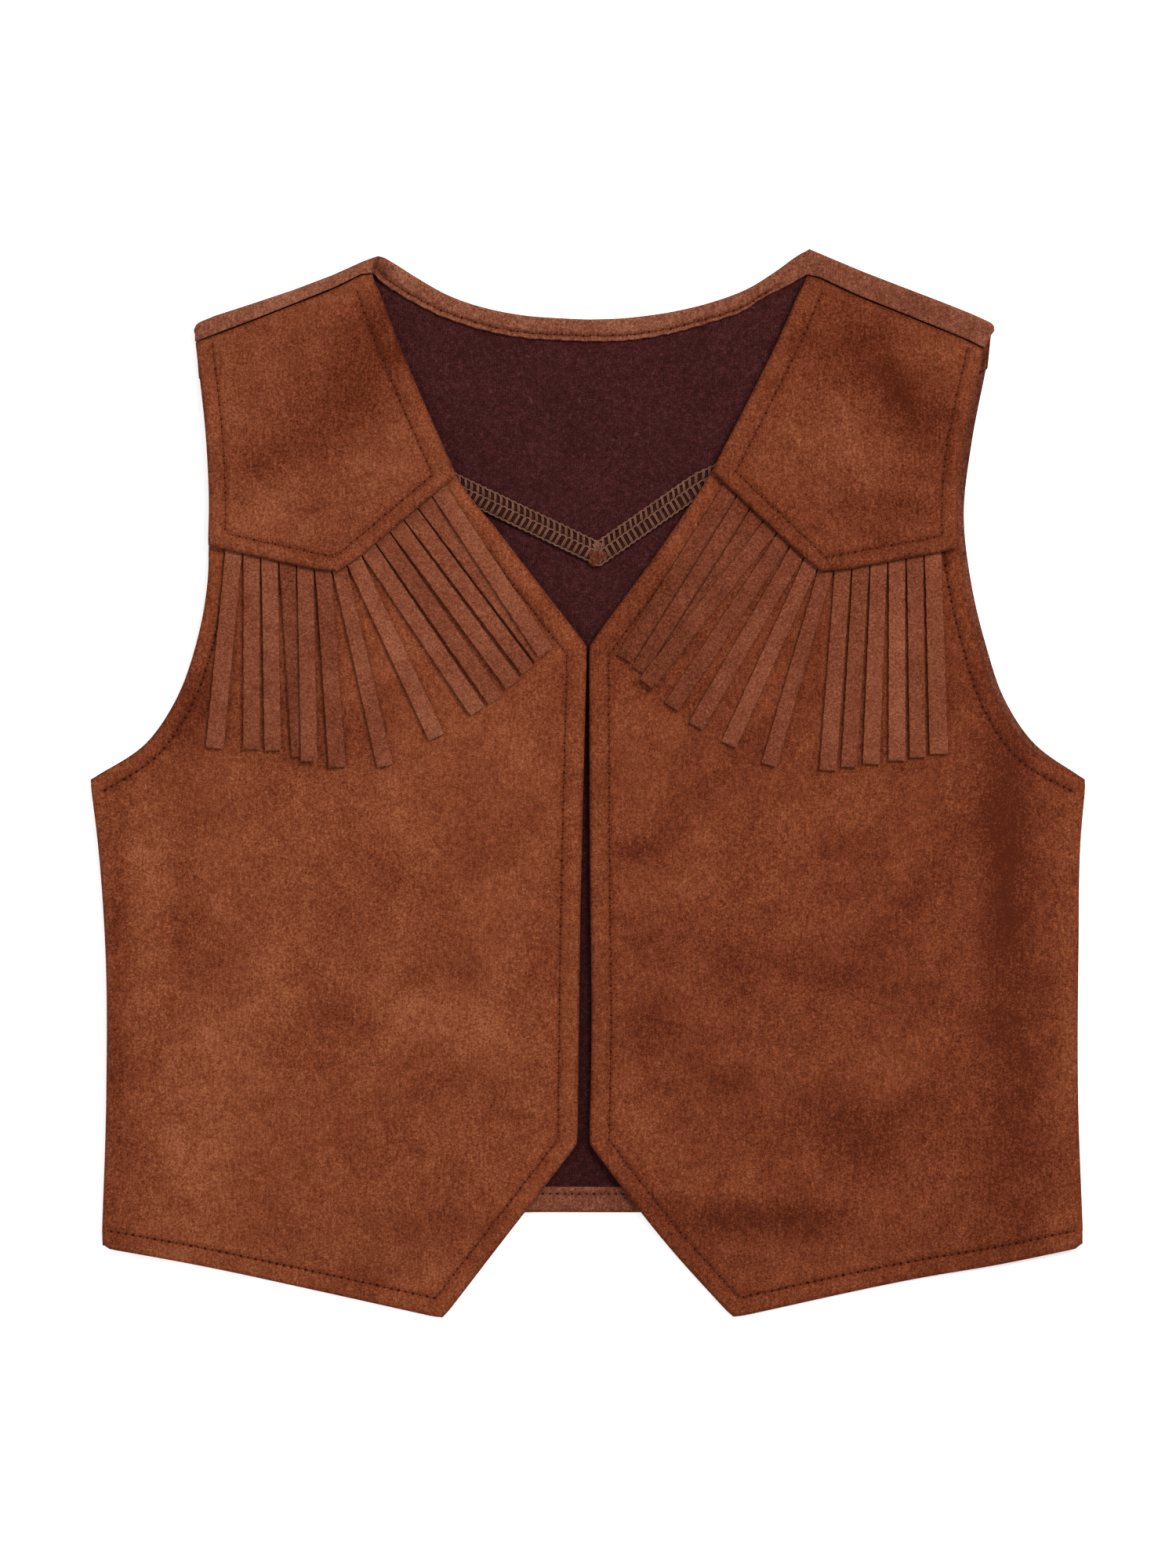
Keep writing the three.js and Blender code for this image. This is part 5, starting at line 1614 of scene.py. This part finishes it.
finish_sheet(back_cloth, "back", [back_seams])
finish_sheet(back_yoke_cloth, "back_yoke", [neck_seam])
finish_sheet(allowance, "back_seam_allowance",
             [overlock, seam_point])
finish_sheet(front_right_cloth, "front_right",
             [front_right_seams])
finish_sheet(front_left_cloth, "front_left",
             [front_left_seams])
finish_sheet(yoke_right_cloth, "front_yoke_right",
             [yoke_right_seams])
finish_sheet(yoke_left_cloth, "front_yoke_left",
             [yoke_left_seams])
finish_sheet(fringe_right, "fringe_right", [])
finish_sheet(fringe_left, "fringe_left", [])


# Floor, light and camera

FLOOR_HALF = 3000
floor_corners = [(-1, -1), (1, -1), (1, 1), (-1, 1)]
floor = new_object(
    "floor",
    [(x * FLOOR_HALF, y * FLOOR_HALF, -0.05) for x, y in floor_corners],
    [(0, 1, 2, 3)],
    [floor_material("pale_paper")],
)


def area_light(name, place, size, power, target=(0, 0, 0)):
    data = bpy.data.lights.new(name, "AREA")
    data.shape = "DISK"
    data.size = size
    data.energy = power
    lamp = bpy.data.objects.new(name, data)
    bpy.context.scene.collection.objects.link(lamp)
    lamp.location = place
    way = [goal - here for goal, here in zip(target, place)]
    length = math.sqrt(sum(step * step for step in way))
    lamp.rotation_mode = "XYZ"
    lamp.rotation_euler = (math.acos(-way[2] / length), 0, math.atan2(way[1], way[0]) - math.pi / 2)
    return lamp


area_light("key_light", (0.8, 0.85, 1.4), 0.8, 30)
area_light("fill_light", (-1.1, -0.2, 1.4), 1.2, 8)

world = bpy.data.worlds.new("studio")
bpy.context.scene.world = world
world.use_nodes = True
world.node_tree.nodes["Background"].inputs["Color"].default_value = (1, 1, 1, 1)
world.node_tree.nodes["Background"].inputs["Strength"].default_value = 0.55

CAMERA_HEIGHT = 2.4
VIEW_HEIGHT = 0.6
SENSOR = 36
camera_data = bpy.data.cameras.new("camera")
camera_data.sensor_fit = "VERTICAL"
camera_data.sensor_height = SENSOR
camera_data.lens = SENSOR * CAMERA_HEIGHT / VIEW_HEIGHT
camera = bpy.data.objects.new("camera", camera_data)
camera.location = (0, 0, CAMERA_HEIGHT)
bpy.context.scene.collection.objects.link(camera)
bpy.context.scene.camera = camera
bpy.context.scene.view_settings.view_transform = "Standard"
